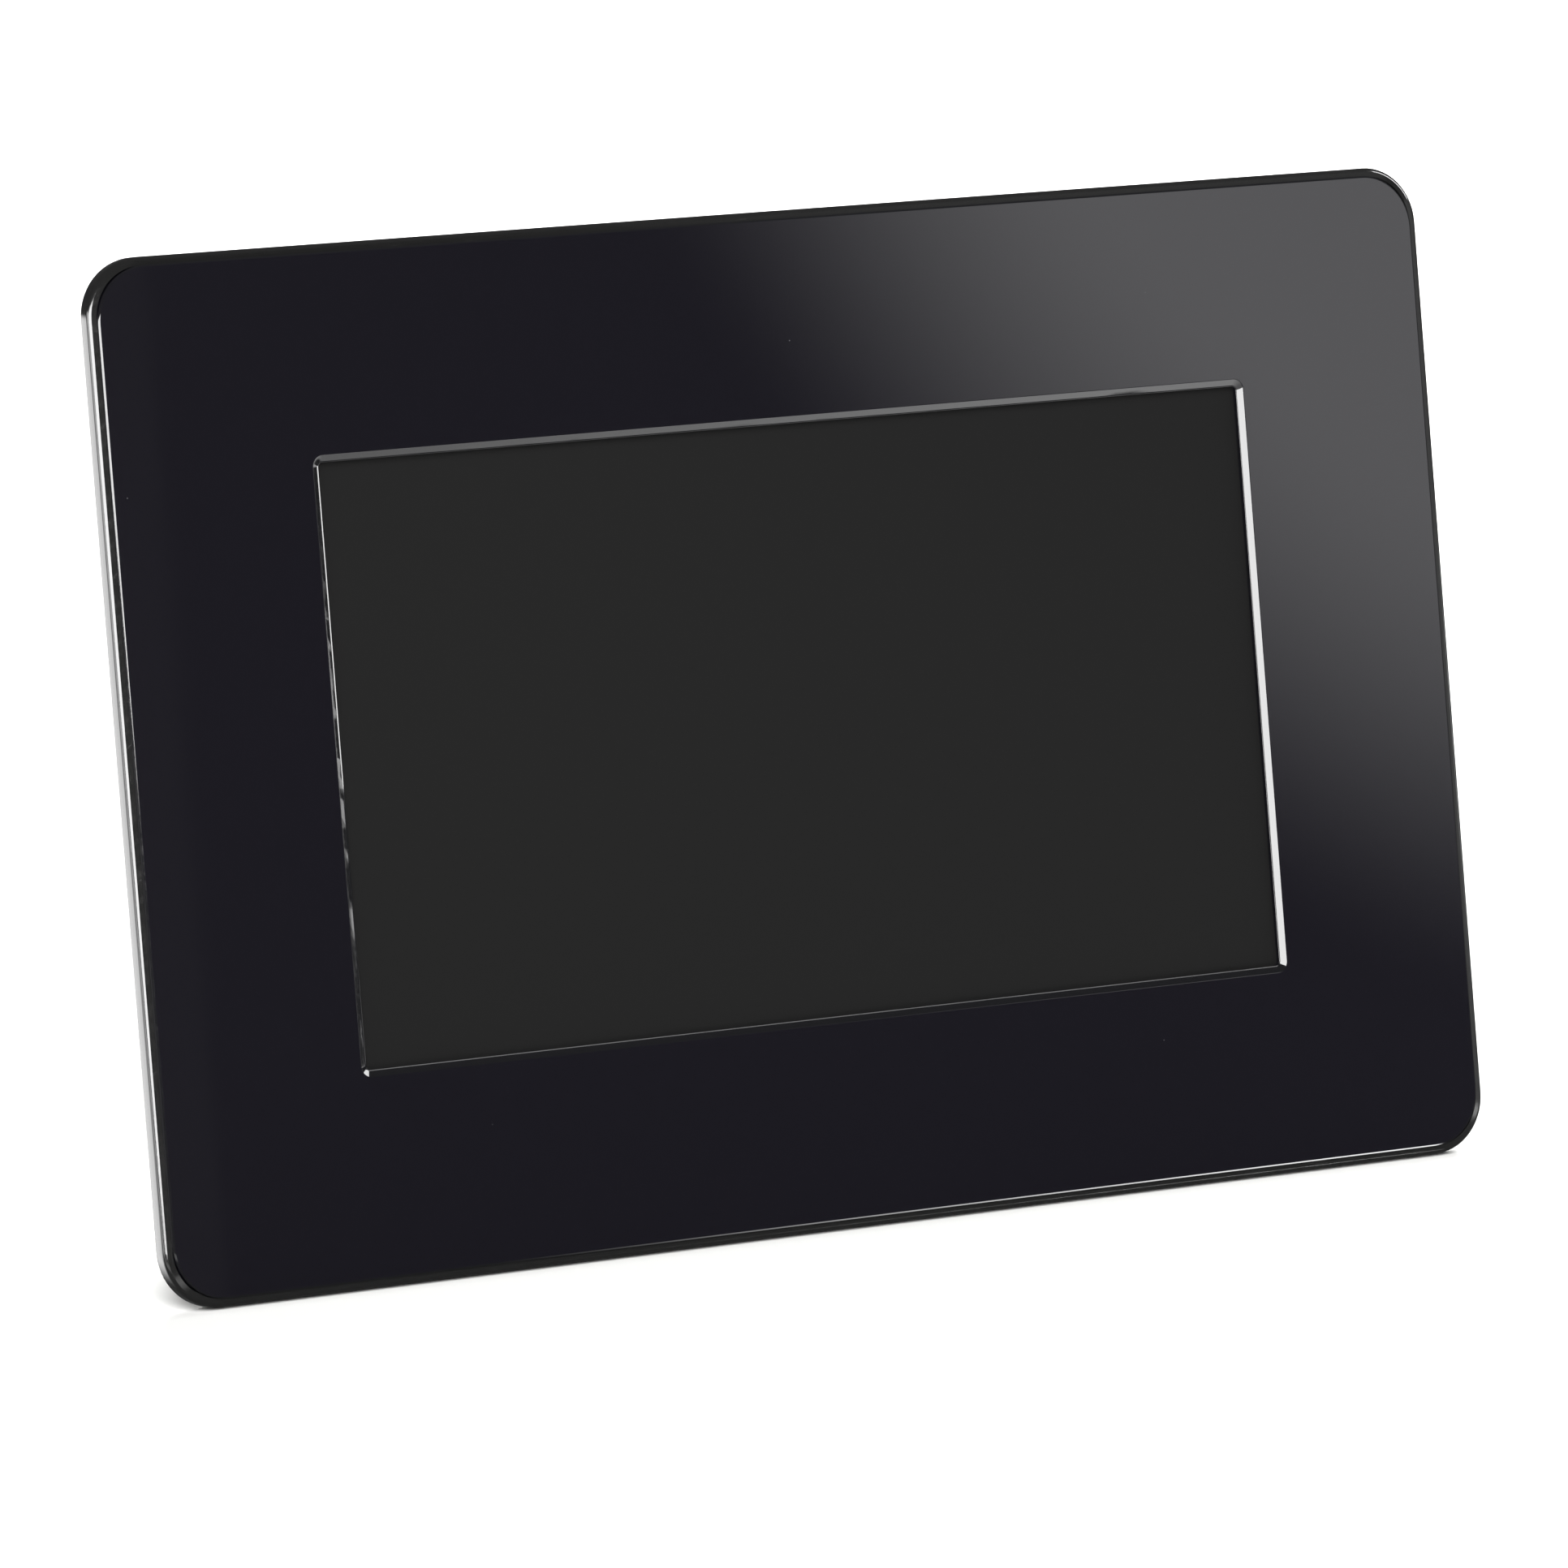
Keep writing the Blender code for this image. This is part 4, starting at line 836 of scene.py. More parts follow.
def make_front_bezel():
    """The moulded rim: sloping strip, chamfer, side wall, rear lip, the panel's seat, and
    behind it the bosses for the cover's and the brackets' screws."""
    cad = Span("front_bezel")
    opening = Span("lcd_tray")
    width, height = cad.size.x, cad.size.y
    side = Span("front_panel").low.x - cad.low.x + PANEL_INSET - 0.04 * MM
    rear = cad_rim_back()
    wall = rear - LIP_DEPTH
    seat = Span("front_panel").back + 0.26 * MM
    profile = [(LIP_WIDTH, wall), (LIP_WIDTH, rear - 0.1 * MM), (LIP_WIDTH - 0.1 * MM, rear)]
    profile += [(1.2 * RIM_BACK_ROUND, rear)]
    profile += reversed(mirrored_round(rear, RIM_BACK_ROUND, 6))
    profile += [(i, RIM_CHAMFER_FOOT + down) for i, down in RIM_ROUNDING]
    inset, depth = profile[-1]
    for slope in RIM_CHAMFER_SLOPES:
        inset += RIM_CHAMFER_STEP * math.cos(math.radians(slope))
        depth -= RIM_CHAMFER_STEP * math.sin(math.radians(slope))
        profile.append((inset, depth))
    # Points just before and after the last step keep the edge between chamfer and strip crisp
    fall = (depth - RIM_SLOPE_TOP) / (side - inset)
    profile.insert(-1, tuple(0.88 * b + 0.12 * a for a, b in zip(profile[-2], profile[-1])))
    profile += [(inset + 0.01 * MM, depth - 0.01 * MM * fall), (side, RIM_SLOPE_TOP), (side, seat)]
    rings = [
        ring(rounded_outline(width - 2 * i, height - 2 * i, RIM_RADIUS - i), depth)
        for i, depth in profile]
    play = 0.4 * MM
    tray = rounded_outline(opening.size.x + 2 * play, opening.size.y + 2 * play, 0.5 * MM)
    rings += ring_pair(tray, seat, wall)
    mesh = mesh_of(skin(rings, closed=True))
    bracket_front = Span("lcd_bracket_left").front - 0.3 * MM
    for place, radius, reach, bore in (
            (COVER_POST, 3.0 * MM, cad.back, 1.5 * MM),
            (BRACKET_SCREW, 2.5 * MM, bracket_front, 1.3 * MM)):
        foot = wall - 0.4 * MM
        profile = [(bore, foot), (radius, foot), (radius, reach - 0.2 * MM)]
        profile += [(radius - 0.2 * MM, reach), (bore, reach)]
        mesh = joined_meshes(mesh, *[tube(profile, x, y) for x, y in corner_places(place)])
    fit("bezel_rim", mesh, ["front_bezel"], ["rim"])


def cad_rim_back():
    """The depth of the rim's rear edge, found from the widest points of the bezel."""
    inverse = PANEL.inverted()
    points = [inverse @ vert.co for vert in frame["nodes"]["front_bezel"].data.vertices]
    widest = max(point.x for point in points)
    return max(-point.z for point in points if point.x > widest - 1.0 * MM)


def make_screen():
    """The screen's front glass, with its softened edges."""
    cad = Span("lcd_glass")
    soft = 0.08 * MM
    profile = [(0, cad.back), (0, cad.front + soft), (soft, cad.front), (4 * soft, cad.front)]
    rings = []
    for inset, depth in profile:
        outline = rounded_outline(cad.size.x - 2 * inset, cad.size.y - 2 * inset, 0.4 * MM, 3)
        rings.append(ring(outline, depth))
    fit("screen_glass", mesh_of(skin(rings)), ["lcd_glass"], ["polariser"])


# -------- rear pieces

def make_back_cover():
    """The rear shell: rounded back, leg recess, screw wells, key holes, vents and ports."""
    cad = Span("back_cover")
    width, height, back = cad.size.x, cad.size.y, cad.back
    outline = rounded_outline(width, height, COVER_RADIUS)
    rings = ring_pair(outline, cad.front, back - COVER_ROUND - 0.2 * MM)
    for inset, depth in mirrored_round(back, COVER_ROUND, 8):
        rings.append(ring(inset_outline(outline, inset), depth))
    rings.append(ring(inset_outline(outline, COVER_ROUND + 0.15 * MM), back))
    shell = mesh_of(skin(rings))

    # The hollow inside, less the walls of the leg's recess and hinge pocket and the posts
    inside = back - COVER_WALL
    hollow = rounded_outline(width - 2 * COVER_WALL, height - 2 * COVER_WALL, 4 * MM)
    cavity = bodies(ring_pair(hollow, cad.front - 1 * MM, inside))
    hinge = HINGE_PLACE
    top = hinge.y + HINGE_POCKET / 2
    bottom = -height / 2 - 2 * MM
    middle = (bottom + top) / 2
    past = back + 1 * MM
    recess_floor = back - RECESS_DEPTH
    pocket_floor = hinge.depth - POCKET_DEPTH
    recess_walls = box_corners(
        RECESS_WIDTH + 2 * INNER_WALL, top - bottom + 2 * INNER_WALL, 0, middle)
    pocket_walls = box_corners(42 * MM, HINGE_POCKET + 2 * INNER_WALL, 0, hinge.y)
    cavity = carve(cavity, bodies(ring_pair(recess_walls, recess_floor - INNER_WALL, past)))
    cavity = carve(cavity, bodies(ring_pair(pocket_walls, pocket_floor - INNER_WALL, past)))
    cover_places = corner_places(COVER_POST)
    posts = prisms(4.2 * MM, cover_places, POST_FRONT, back)
    posts += prisms(2.5 * MM, KEY_POSTS, KEY_POST_FRONT, back)
    cavity = carve(cavity, bodies(*posts))

    recess = rounded_outline(RECESS_WIDTH, top - bottom, 1.5 * MM, 5)
    pocket = rounded_outline(RECESS_WIDTH, HINGE_POCKET, 1.0 * MM, 4)
    pin_hole = moved(bodies(ring_pair(circle(1.5 * MM, 24), -19.8 * MM, 19.8 * MM)), hinge.across)
    wells = [
        pocket_rings(at(circle(2.8 * MM), x, y), back, WELL_FLOOR, 0.3 * MM)
        for x, y in cover_places]
    holes = prisms(1.6 * MM, cover_places, POST_FRONT - 1 * MM, WELL_FLOOR + 1 * MM, 24)
    holes += prisms(1.3 * MM, KEY_POSTS, 12 * MM, 16.2 * MM, 24)
    key_hole = rounded_outline(7.2 * MM, 5.0 * MM, 1.4 * MM, 5)
    key_holes = []
    for name in KEYS:
        key = Span(name).middle
        key_holes.append(
            pocket_rings(at(key_hole, key.x, key.y), back, inside - 1 * MM, 0.25 * MM))
    cutters = [
        cavity,
        bodies(pocket_rings(at(recess, 0, middle), back, recess_floor, 0.35 * MM)),
        bodies(ring_pair(at(pocket, 0, hinge.y), pocket_floor, back + 0.05 * MM)),
        pin_hole, bodies(*wells), bodies(*holes), bodies(*key_holes)]

    vent = rounded_outline(1.4 * MM, 14 * MM, 0.65 * MM, 5)
    slot = bodies(pocket_rings(vent, back, inside - 1 * MM, 0.2 * MM))
    slots = in_grid(slot, VENTS_PER_SIDE, 1, VENT_PITCH, 0.0, "cover")
    vent_x = VENT_FIRST + VENT_PITCH * (VENTS_PER_SIDE - 1) / 2
    for side in (-1, 1):
        cutters.append(moved(slots.copy(), Matrix.Translation((side * vent_x, VENT_Y, 0))))

    label = Span("rating_label")
    label_seat = rounded_outline(label.size.x + 1 * MM, label.size.y + 1 * MM, 1.2 * MM, 5)
    label_seat = at(label_seat, label.middle.x, label.middle.y)
    cutters.append(bodies(pocket_rings(label_seat, back, back - 0.5 * MM, 0.15 * MM)))
    for y, depth, outline in PORTS:
        wall = Matrix(((0, 0, 1, width / 2), (1, 0, 0, y), (0, 1, 0, -depth), (0, 0, 0, 1)))
        cutter = bodies(pocket_rings(outline, 0, -COVER_WALL - 1 * MM, 0.25 * MM))
        cutter = moved(cutter, wall @ Matrix.Diagonal((1, 1, -1, 1)))
        cutter.flip_normals()
        cutters.append(cutter)
    for cutter in cutters:
        shell = carve(shell, cutter)
    fit("rear_cover", shell, ["back_cover"], ["cover"])


# Openings in the right wall for the card, USB and power sockets and the switch,
# as height up the wall, depth, and outline
PORTS = (
    (16.0 * MM, 11.65 * MM, rounded_outline(24.8 * MM, 2.9 * MM, 0.5 * MM, 4)),
    (-3.0 * MM, 12.0 * MM, rounded_outline(7.4 * MM, 3.6 * MM, 0.6 * MM, 4)),
    (-15.0 * MM, 13.45 * MM, circle(2.5 * MM)),
    (-26.0 * MM, 12.0 * MM, rounded_outline(5.0 * MM, 2.4 * MM, 0.5 * MM, 4)),
)


class HingePlace:
    """Where the leg's pin lies, in the frame's own directions."""

    def __init__(self):
        pivot = PANEL.inverted() @ Vector(leg_joint()["pos_m"])
        self.y = pivot.y
        self.depth = -pivot.z
        turn = Matrix.Rotation(math.radians(90), 4, "Y")
        self.across = Matrix.Translation((0, self.y, -self.depth)) @ turn


HINGE_PLACE = HingePlace()


def make_label():
    """The blank rating label, with its round corners."""
    cad = Span("rating_label")
    outline = at(
        rounded_outline(cad.size.x, cad.size.y, 1.0 * MM, 5), cad.middle.x, cad.middle.y)
    mesh = bodies(plate_rings(outline, cad.front, cad.back, 0.04 * MM, 0, 2))
    fit("blank_rating_label", mesh, ["rating_label"], ["label"])


def chamfered_rod(radius, half, chamfer):
    """Radii and depths of a rod with chamfered ends, centred on the origin."""
    return [
        (radius - chamfer, -half), (radius, chamfer - half),
        (radius, half - chamfer), (radius - chamfer, half)]


def make_leg():
    """The fold-out leg: tapered plate on a hinge barrel, with grip grooves near its foot."""
    cad = Span("stand_leg", LEG)
    front, back = -0.7 * MM, 2.7 * MM
    length = -cad.low.y + 3 * MM
    top, foot = LEG_TOP_WIDTH / 2, LEG_FOOT_WIDTH / 2
    corners = [(top, 0), (-top, 0), (-top, -LEG_SHOULDER)]
    corners += [(-foot, -length), (foot, -length), (top, -LEG_SHOULDER)]
    outline = softened([Vector(corner) for corner in corners], 3 * MM)
    mesh = bodies(plate_rings(outline, front, back, 0.5 * MM, None, 4))
    across = Matrix.Rotation(math.radians(90), 4, "Y")
    barrel = chamfered_rod(3.0 * MM, top, 0.3 * MM)
    mesh = carve(mesh, moved(bodies(turned(barrel, 40)), across), "UNION")
    mesh = carve(mesh, moved(bodies(ring_pair(circle(1.5 * MM, 28), -20 * MM, 20 * MM)), across))
    low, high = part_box("leg_foot_pad")
    level = box_corners(60 * MM, 60 * MM, 0, (low.y + high.y) / 2)
    floor_cut = bodies(ring_pair(level, 30 * MM - high.z, -high.z))
    mesh = carve(mesh, moved(floor_cut, LEG.inverted()))
    groove = bodies([
        ring(rounded_outline(14 * MM, 0.75 * MM, 0.35 * MM, 4), back - 0.35 * MM),
        ring(rounded_outline(15.4 * MM, 1.5 * MM, 0.35 * MM, 4), back + 0.2 * MM)])
    grooves = in_grid(groove, 1, 6, 0.0, 1.9 * MM, "leg")
    mesh = carve(mesh, moved(grooves, Matrix.Translation((0, cad.low.y + 20 * MM, 0))))
    fit("fold_out_leg", mesh, ["stand_leg"], ["leg"], "stand_leg", LEG)


def softened(points, radius, steps=5):
    """An outline with every corner replaced by a short curve."""
    curve = []
    count = len(points)
    for i, point in enumerate(points):
        before = points[i - 1] - point
        after = points[(i + 1) % count] - point
        reach = min(radius, before.length / 3, after.length / 3)
        start = point + before.normalized() * reach
        stop = point + after.normalized() * reach
        for step in range(steps + 1):
            t = step / steps
            curve.append(start.lerp(point, t).lerp(point.lerp(stop, t), t))
    return curve


def make_foot_pad():
    """The rubber pad glued under the foot, lying level on the table."""
    low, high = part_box("leg_foot_pad")
    middle = (low + high) / 2
    size = high - low
    outline = rounded_outline(size.x, size.y, 0.9 * MM, 5)
    mesh = bodies(plate_rings(outline, -size.z / 2, size.z / 2, 0.45 * MM, 0.1 * MM, 3))
    fit(
        "rubber_foot_pad", mesh, ["leg_foot_pad"], ["rubber"], "stand_leg",
        Matrix.Translation(middle))


def make_pin():
    """The hinge pin, ground bright, with chamfered ends."""
    cad = Span("stand_pin")
    profile = chamfered_rod(cad.size.y / 2, cad.size.x / 2, 0.25 * MM)
    mesh = moved(bodies(turned(profile, 32)), HINGE_PLACE.across)
    fit("hinge_pin", mesh, ["stand_pin"], ["pin"])


def key_sign(name):
    """The outlines printed on a key: bars, an arrow head, or none where it has a ring."""
    if name == "key_menu":
        return [box_corners(1.8 * MM, 0.3 * MM, 0, y) for y in (-0.7 * MM, 0, 0.7 * MM)]
    if name == "key_enter":
        return []
    turn = {"key_right": 0, "key_up": 90, "key_left": 180, "key_down": 270}[name]
    arrow = []
    for corner in (0, 120, 240):
        angle = math.radians(turn + corner)
        arrow.append(0.95 * MM * Vector((-math.cos(angle), math.sin(angle))))
    return [list(reversed(arrow))]


def make_key(name):
    """One push key: flanged foot, soft-edged cap and a printed sign."""
    cad = Span(name)
    x, y = cad.middle.x, cad.middle.y
    cap_back = cad.back - 0.03 * MM
    flange_back = cad.front + 0.7 * MM
    flange = rounded_outline(7.8 * MM, 5.6 * MM, 0.4 * MM, 3)
    cap = rounded_outline(6.6 * MM, 4.4 * MM, 1.2 * MM, 6)
    flange_rings = plate_rings(at(flange, x, y), cad.front, flange_back, 0.05 * MM, 0)
    cap_rings = [ring(at(cap, x, y), cad.front + 0.1 * MM)]
    for inset, depth in mirrored_round(cap_back, 0.45 * MM, 4) + [(0.6 * MM, cap_back)]:
        cap_rings.append(ring(at(inset_outline(cap, inset), x, y), depth))
    body = carve(bodies(flange_rings), bodies(cap_rings), "UNION")
    foot = cap_back - 0.02 * MM
    signs = [ring_pair(at(sign, x, y), foot, cad.back) for sign in key_sign(name)]
    if signs:
        sign = bodies(*signs)
    else:
        profile = [(0.6 * MM, foot), (0.9 * MM, foot), (0.9 * MM, cad.back), (0.6 * MM, cad.back)]
        sign = tube(profile, x, y)
    mesh = joined_meshes(body, paint(sign, 1))
    fit(name + "_cap", mesh, [name], ["key", "print"], name)


def make_knob():
    """The slide knob of the power switch, with ridges across its tip."""
    cad = Span("power_switch_knob")
    half_width = cad.size.y / 2
    tip = cad.high.x
    ridge = 0.25 * MM
    ridges = 3
    steps = 4 * ridges
    outline = [(cad.low.x, -half_width), (tip - ridge, -half_width)]
    for step in range(1, steps):
        level = -half_width + 2 * half_width * step / steps
        dip = ridge * (0.5 - 0.5 * math.cos(math.tau * ridges * step / steps)) * 0.9
        outline.append((tip - dip - 0.02 * MM, level))
    outline += [(tip - ridge, half_width), (cad.low.x, half_width)]
    points = [Vector((x, y + cad.middle.y)) for x, y in outline]
    mesh = bodies(plate_rings(points, cad.front, cad.back, 0.12 * MM, None, 2))
    fit("power_knob", mesh, ["power_switch_knob"], ["nylon"], "power_switch")


# -------- screws and inner pieces

def screw_mesh(head_radius, head_height, shank_radius, length):
    """A pan-head screw with a cross recess. Its head reaches back from the origin."""
    pitch = 0.7 * MM
    profile = [(0.05 * MM, head_height), (0.55 * head_radius, head_height * 0.97)]
    profile += [(0.85 * head_radius, head_height * 0.82), (head_radius, head_height * 0.5)]
    profile += [(head_radius, 0.05 * MM), (shank_radius, 0)]
    down = 0.3 * MM
    while down < length - shank_radius:
        profile += [(shank_radius, -down), (0.78 * shank_radius, -down - pitch / 2)]
        down += pitch
    profile += [(0.1 * MM, -length)]
    body = bodies(turned(profile, 24))
    arm = head_radius * 0.6
    slit = head_radius * 0.16
    for turn in (0, 90):
        corners = box_corners(2 * arm, 2 * slit)
        foot = [Vector((0.35 * point.x, 0.7 * point.y)) for point in corners]
        recess = bodies([ring(foot, head_height * 0.35), ring(corners, head_height * 1.02)])
        body = carve(body, moved(recess, Matrix.Rotation(math.radians(turn + 20), 4, "Z")))
    return body


def make_screws(kind, count, head_radius, head_height, shank_radius, length, head_in_front):
    """A set of equal screws, each copied to the middle of its CAD node."""
    template = screw_mesh(head_radius, head_height, shank_radius, length)
    names = [f"{kind}_{number}" for number in range(1, count + 1)]
    spans = [Span(name) for name in names]
    if head_in_front:
        template = moved(template, Matrix.Rotation(math.pi, 4, "X"))
        points = [(s.middle.x, s.middle.y, s.high.z - head_height) for s in spans]
    else:
        points = [(s.middle.x, s.middle.y, s.low.z + head_height) for s in spans]
    fit(kind + "s", at_points(template, points, "screw"), names, ["screw"])


def make_chip(name, pins, sides_with_leads):
    """A moulded chip with its bent leads along two sides, or along all four."""
    cad = Span(name)
    lead = 1.0 * MM
    four = sides_with_leads == 4
    width = cad.size.x - 2 * lead
    height = cad.size.y - (2 * lead if four else 0)
    x, y = cad.middle.x, cad.middle.y
    outline = at(rounded_outline(width, height, 0.3 * MM, 2), x, y)
    body = bodies(plate_rings(outline, cad.front + 0.1 * MM, cad.back, 0.12 * MM, None, 1))
    dot = bodies(turned([(0.5 * MM, cad.back - 0.02 * MM), (0.5 * MM, cad.back)], 20))
    dot = moved(dot, Matrix.Translation((x - width * 0.38, y + height * 0.38, 0)))
    knee = cad.front + cad.size.z * 0.5
    foot_front = cad.front + 0.02 * MM
    leads = []
    sides = ((0, width, height), (180, width, height))
    if four:
        sides += ((90, height, width), (270, height, width))
    for turn, across, along in sides:
        step = (along - 1.4 * MM) / (pins - 1)
        half = step * 0.22
        thick = 0.12 * MM
        path = [(-0.2 * MM, knee), (0.3 * MM, knee), (0.5 * MM, foot_front), (lead, foot_front)]
        shape = []
        for reach, depth in path:
            shape.append([
                Vector((across / 2 + reach, j * half, -(depth + k * thick)))
                for j, k in ((1, 1), (-1, 1), (-1, 0), (1, 0))])
        row = in_grid(bodies(shape), 1, pins, 0.0, step, "tin")
        around = Matrix.Rotation(math.radians(turn), 4, "Z")
        row = moved(row, Matrix.Translation((x, y, 0)) @ around)
        leads.append(paint(row, 1))
    mesh = joined_meshes(body, dot, *leads)
    fit(name + "_with_leads", mesh, [name], ["epoxy", "tin"])


def make_capacitors():
    """Two aluminium can capacitors with a crimp groove, a vent cross and a plastic foot."""
    cad = Span("capacitor_1")
    radius, height = cad.size.x / 2, cad.size.z
    profile = [(radius, 0), (radius, 0.9 * MM)]
    profile += [(radius - 0.12 * MM, 1.0 * MM), (radius - 0.12 * MM, 1.2 * MM)]
    profile += [(radius - 0.35 * MM, 1.35 * MM), (radius - 0.35 * MM, 1.55 * MM)]
    profile += [(radius - 0.1 * MM, 1.8 * MM), (radius - 0.1 * MM, height - 0.35 * MM)]
    profile += [(radius - 0.4 * MM, height), (0.2 * MM, height)]
    can = bodies(turned(profile, 36))
    for turn in (0, 90):
        line = box_corners(radius * 1.3, 0.16 * MM)
        score = bodies(ring_pair(line, height - 0.12 * MM, height + 0.2 * MM))
        can = carve(can, moved(score, Matrix.Rotation(math.radians(turn + 30), 4, "Z")))
    names = ["capacitor_1", "capacitor_2"]
    spans = [Span(name) for name in names]
    points = [(s.middle.x, s.middle.y, s.high.z) for s in spans]
    mesh = at_points(can, points, "can")
    foot_line = spans[0].high.z - 0.95 * MM
    mesh.materials.append(MATERIALS["nylon"])
    paint(mesh, 1, foot_line)
    fit("can_capacitors", mesh, names, ["can", "nylon"])


def side_wall_place(cad):
    """From a drawing laid flat, mouth towards +Z, to a socket whose mouth faces right."""
    return Matrix((
        (0, 0, 1, cad.high.x), (1, 0, 0, cad.middle.y), (0, 1, 0, cad.middle.z), (0, 0, 0, 1)))


def shell_socket(cad, outline, wall, deep):
    """A folded metal shell with a rounded mouth, drawn with its mouth at Z = 0."""
    block = bodies(plate_rings(outline, 0, cad.size.x, 0.1 * MM, 0.12 * MM, 2))
    hollow = inset_outline(outline, wall)
    return carve(block, bodies([ring(hollow, deep), ring(hollow, -1 * MM)]))


def make_card_socket():
    """The memory card socket: nickel shell with a row of contacts on its floor."""
    cad = Span("card_socket")
    outline = rounded_outline(cad.size.y, cad.size.z, 0.3 * MM, 3)
    shell = shell_socket(cad, outline, 0.35 * MM, 24 * MM)
    strip = bodies(ring_pair(rounded_outline(0.9 * MM, 0.25 * MM, 0.05 * MM, 2), 3 * MM, 9 * MM))
    row = in_grid(strip, 9, 1, 2.5 * MM, 0.0, "tin")
    row = moved(row, Matrix.Translation((0, -cad.size.z / 2 + 0.55 * MM, 0)))
    mesh = moved(joined_meshes(shell, row), side_wall_place(cad))
    fit("memory_card_socket", mesh, ["card_socket"], ["nickel"])


def make_usb_socket():
    """The small USB socket: stepped shell with a black tongue in it."""
    cad = Span("usb_socket")
    wide, tall = cad.size.y / 2, cad.size.z / 2
    corners = [(wide, tall), (-wide, tall), (-wide, -0.3 * tall)]
    corners += [(-0.78 * wide, -tall), (0.78 * wide, -tall), (wide, -0.3 * tall)]
    outline = softened([Vector(c) for c in corners], 0.6 * MM, 4)
    shell = shell_socket(cad, outline, 0.4 * MM, 8 * MM)
    tongue = rounded_outline(4.4 * MM, 0.9 * MM, 0.15 * MM, 2)
    tongue = bodies(plate_rings(tongue, 0.9 * MM, 8.5 * MM, 0.05 * MM))
    mesh = moved(joined_meshes(shell, paint(tongue, 1)), side_wall_place(cad))
    fit("usb_socket_shell", mesh, ["usb_socket"], ["nickel", "nylon"])


def make_dc_socket():
    """The DC power inlet: nylon block with a round mouth and a steel centre pin."""
    cad = Span("dc_socket")
    outline = rounded_outline(cad.size.y, cad.size.z, 0.4 * MM, 3)
    block = bodies(plate_rings(outline, 0, cad.size.x, 0.15 * MM, None, 2))
    mouth = [(1.9 * MM, 9 * MM), (1.9 * MM, 0.35 * MM), (2.2 * MM, 0), (2.2 * MM, -1 * MM)]
    block = carve(block, bodies(turned(mouth, 32)))
    pin = bodies(turned([(0.65 * MM, 9.2 * MM), (0.65 * MM, 1.1 * MM), (0.4 * MM, 0.8 * MM)], 24))
    mesh = moved(joined_meshes(block, paint(pin, 1)), side_wall_place(cad))
    fit("power_inlet", mesh, ["dc_socket"], ["nylon", "pin"])


def dress_inner_nodes():
    """Procedural materials for the inner pieces that keep their CAD meshes."""
    for key, names in INNER_PIECES.items():
        for name in names:
            for slot in frame["nodes"][name].material_slots:
                slot.material = MATERIALS[key]


INNER_PIECES = {
    "white": ["lcd_mold_frame", "ribbon_connector"],
    "film": ["diffuser_sheet"],
    "guide": ["light_guide"],
    "led": ["led_bar"],
    "steel": ["lcd_tray", "lcd_bracket_left", "lcd_bracket_right"],
    "board": ["main_board", "key_board"],
    "epoxy": ["power_coil"],
    "nickel": ["power_switch_body"],
    "nylon": [f"tact_switch_{number}" for number in range(1, 7)],
    "amber": ["lcd_ribbon"],
    "flat_cable": ["key_board_cable"],
}


# -------- stage

def glowing(name, strength):
    """A material that only glows, and its emission node."""
    material = bpy.data.materials.new(name)
    material.use_nodes = True
    tree = material.node_tree
    tree.nodes.clear()
    glow = add(tree, "ShaderNodeEmission", {"Strength": strength})
    add(tree, "ShaderNodeOutputMaterial", {"Surface": glow.outputs[0]})
    return material, tree, glow


def make_card(name, outlines, material):
    """A card that only shows in reflections, from outlines in the frame's own directions."""
    bm = bmesh.new()
    for outline in outlines:
        bm.faces.new([bm.verts.new(PANEL @ Vector(point)) for point in outline])
    mesh = bpy.data.meshes.new(name)
    bm.to_mesh(mesh)
    bm.free()
    mesh.materials.append(material)
    obj = put_in(name, mesh)
    for ray in ("camera", "diffuse", "transmission", "volume_scatter", "shadow"):
        setattr(obj, "visible_" + ray, False)


def ramp(tree, value, start, stop, low, high):
    """A smooth step between two numbers."""
    return spread(tree, value, low, high, start, stop, interpolation_type="SMOOTHSTEP")


def make_floor():
    """A pale table top. What shiny pieces mirror of it is lit apart: bright behind the left
    side, in front, and in a narrow strip before the foot of the frame, and dark elsewhere."""
    bm = bmesh.new()
    bmesh.ops.create_grid(bm, x_segments=1, y_segments=1, size=6)
    mesh = bpy.data.meshes.new("table_top")
    bm.to_mesh(mesh)
    bm.free()
    material, tree, shader, place = new_surface(
        "matt_white_table", "f2f2f0", 0.9, Specular_IOR_Level=0.0)
    parts = add(tree, "ShaderNodeSeparateXYZ", {"Vector": place}).outputs
    patches = []
    for steps in (SHEEN_BEHIND, SHEEN_AHEAD, SHEEN_UNDER):
        levels = [ramp(tree, parts[axis], *numbers) for axis, *numbers in steps]
        patches.append(chained(tree, "MULTIPLY", *levels))
    strength = chained(tree, "ADD", *patches, SHEEN_BASE)
    mirrored = add(tree, "ShaderNodeEmission", {"Strength": strength})
    is_glossy = add(tree, "ShaderNodeLightPath").outputs["Is Glossy Ray"]
    both = add(tree, "ShaderNodeMixShader", {
        0: is_glossy, 1: shader.outputs[0], 2: mirrored.outputs[0]})
    tree.links.new(both.outputs[0], tree.nodes["Material Output"].inputs["Surface"])
    mesh.materials.append(material)
    put_in("table_top", mesh)


def make_lamps():
    """A broad lamp above and behind for the table, and a soft fill from the front left.
    Reflections don't see them, because the cards stand for what shiny pieces mirror."""
    for name, kind, point, energy, size in LAMPS:
        lamp = bpy.data.lights.new(name, kind)
        lamp.energy = energy
        if kind == "SUN":
            lamp.angle = size
        else:
            lamp.shape = "RECTANGLE"
            lamp.size = size
            lamp.size_y = size
        obj = put_in(name, lamp)
        turn = Vector(point).to_track_quat("Z", "Y").to_matrix().to_4x4()
        obj.matrix_world = Matrix.Translation(point) @ turn
        obj.visible_glossy = False


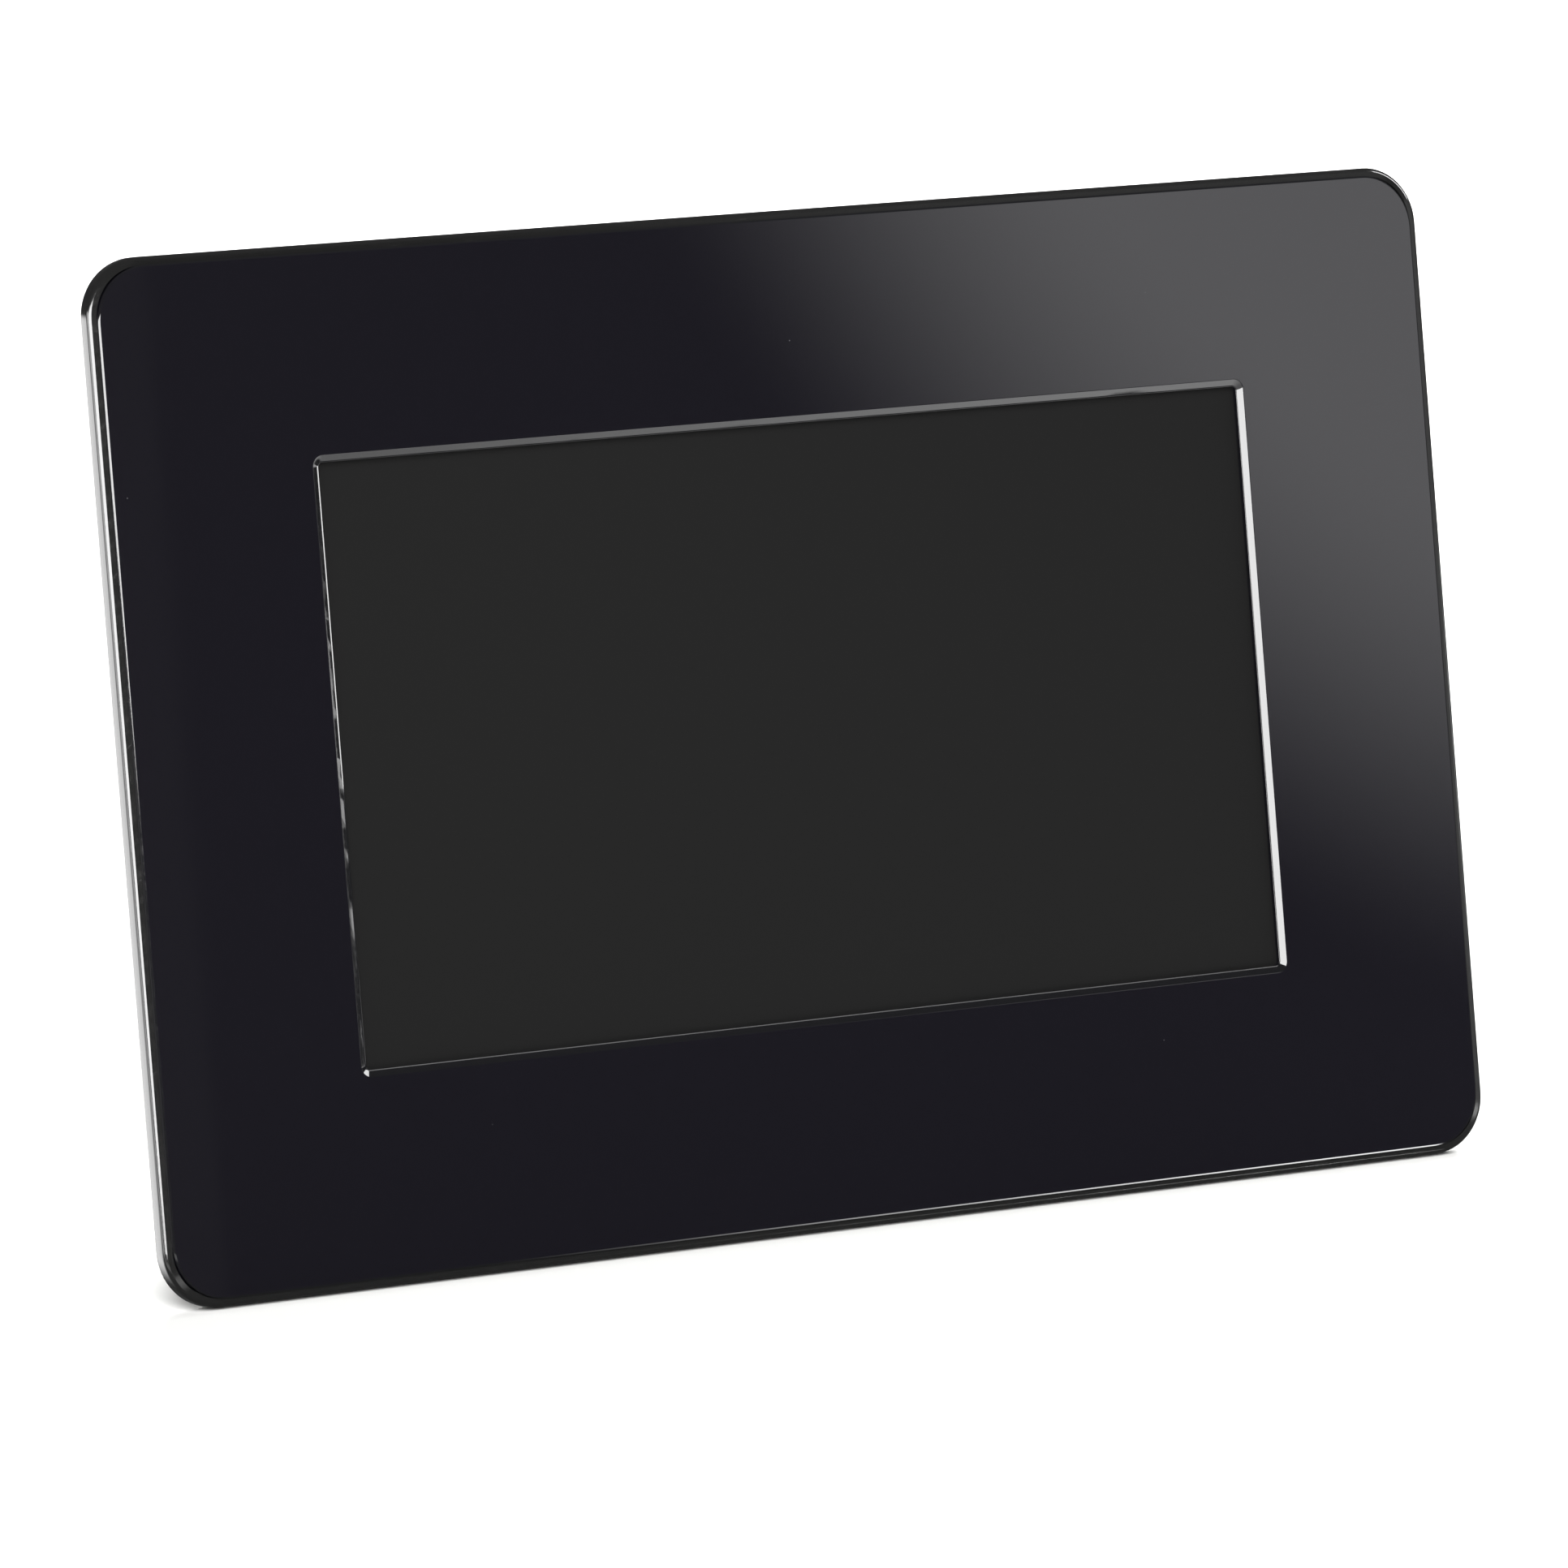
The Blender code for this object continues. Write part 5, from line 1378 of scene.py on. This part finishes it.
def make_cards():
    """The cards that the glossy front mirrors. The face mirrors a large soft round one at the
    front right. The plain ones are a bright one on the left, which left-facing bevels catch,
    one bent round the upper right corner, a dim one low on the right, and one far left for
    the side wall."""
    x, y, distance = SOFT_CARD
    inner, outer = SOFT_CARD_RADII
    material, tree, glow = glowing("soft_card_glow", 1.0)
    place = add(tree, "ShaderNodeTexCoord").outputs["Object"]
    flat = upright(tree, place)
    away = add(
        tree, "ShaderNodeVectorMath", {0: flat, 1: SOFT_CARD}, operation="SUBTRACT").outputs[0]
    away = add(
        tree, "ShaderNodeVectorMath", {0: away, 1: (1 / SOFT_CARD_WIDENING, 1, 1)},
        operation="MULTIPLY").outputs[0]
    reach = add(
        tree, "ShaderNodeVectorMath", {0: away}, operation="LENGTH").outputs["Value"]
    level = add(tree, "ShaderNodeSeparateXYZ", {"Vector": flat}).outputs["Y"]
    cut_off = ramp(tree, level, *SOFT_CARD_TOP, 1.0, SOFT_CARD_FLOOR)
    strength = chained(
        tree, "MULTIPLY", ramp(tree, reach, inner, outer, SOFT_CARD_GLOW, 0.0), cut_off)
    tree.links.new(strength, glow.inputs["Strength"])
    square = box_corners(SOFT_CARD_SIZE, SOFT_CARD_SIZE, x, y)
    make_card("soft_card", [[(*corner, distance) for corner in square]], material)
    for name, strength, outlines in PLAIN_CARDS:
        make_card(name, outlines, glowing(name + "_glow", strength)[0])


def make_world():
    """White to the camera, and nearly dark in reflections."""
    world = bpy.data.worlds.new("studio")
    bpy.context.scene.world = world
    world.use_nodes = True
    tree = world.node_tree
    ground = tree.nodes["Background"]
    seen = add(tree, "ShaderNodeLightPath").outputs["Is Camera Ray"]
    strength = spread(tree, seen, WORLD_IN_REFLECTIONS, 1.0, 0.0, 1.0)
    tree.links.new(strength, ground.inputs["Strength"])
    ground.inputs["Color"].default_value = (1, 1, 1, 1)


def make_camera():
    """The camera, to the left of the frame and above it, with its sideways tilt."""
    camera = bpy.data.cameras.new("camera")
    camera.lens = CAMERA_LENS
    camera.sensor_width = 36
    camera.clip_start = 0.05
    camera.clip_end = 50
    obj = put_in("camera", camera)
    aim = PANEL @ Vector((*CAMERA_AIM, 0))
    level = math.cos(CAMERA_DROP)
    view = Vector((
        math.sin(CAMERA_HEADING) * level, math.cos(CAMERA_HEADING) * level,
        -math.sin(CAMERA_DROP)))
    turn = view.to_track_quat("-Z", "Y").to_matrix().to_4x4()
    roll = Matrix.Rotation(-CAMERA_ROLL, 4, "Z")
    obj.matrix_world = Matrix.Translation(aim - view * CAMERA_DISTANCE) @ turn @ roll
    bpy.context.scene.camera = obj
    bpy.context.scene.view_settings.view_transform = "Standard"


make_front_panel()
make_front_bezel()
make_screen()
make_back_cover()
make_label()
make_leg()
make_foot_pad()
make_pin()
for key_name in KEYS:
    make_key(key_name)
make_knob()
for screw_set in SCREW_SETS:
    make_screws(*screw_set)
for chip in CHIPS:
    make_chip(*chip)
make_capacitors()
make_card_socket()
make_usb_socket()
make_dc_socket()
dress_inner_nodes()
make_floor()
make_lamps()
make_cards()
make_world()
make_camera()
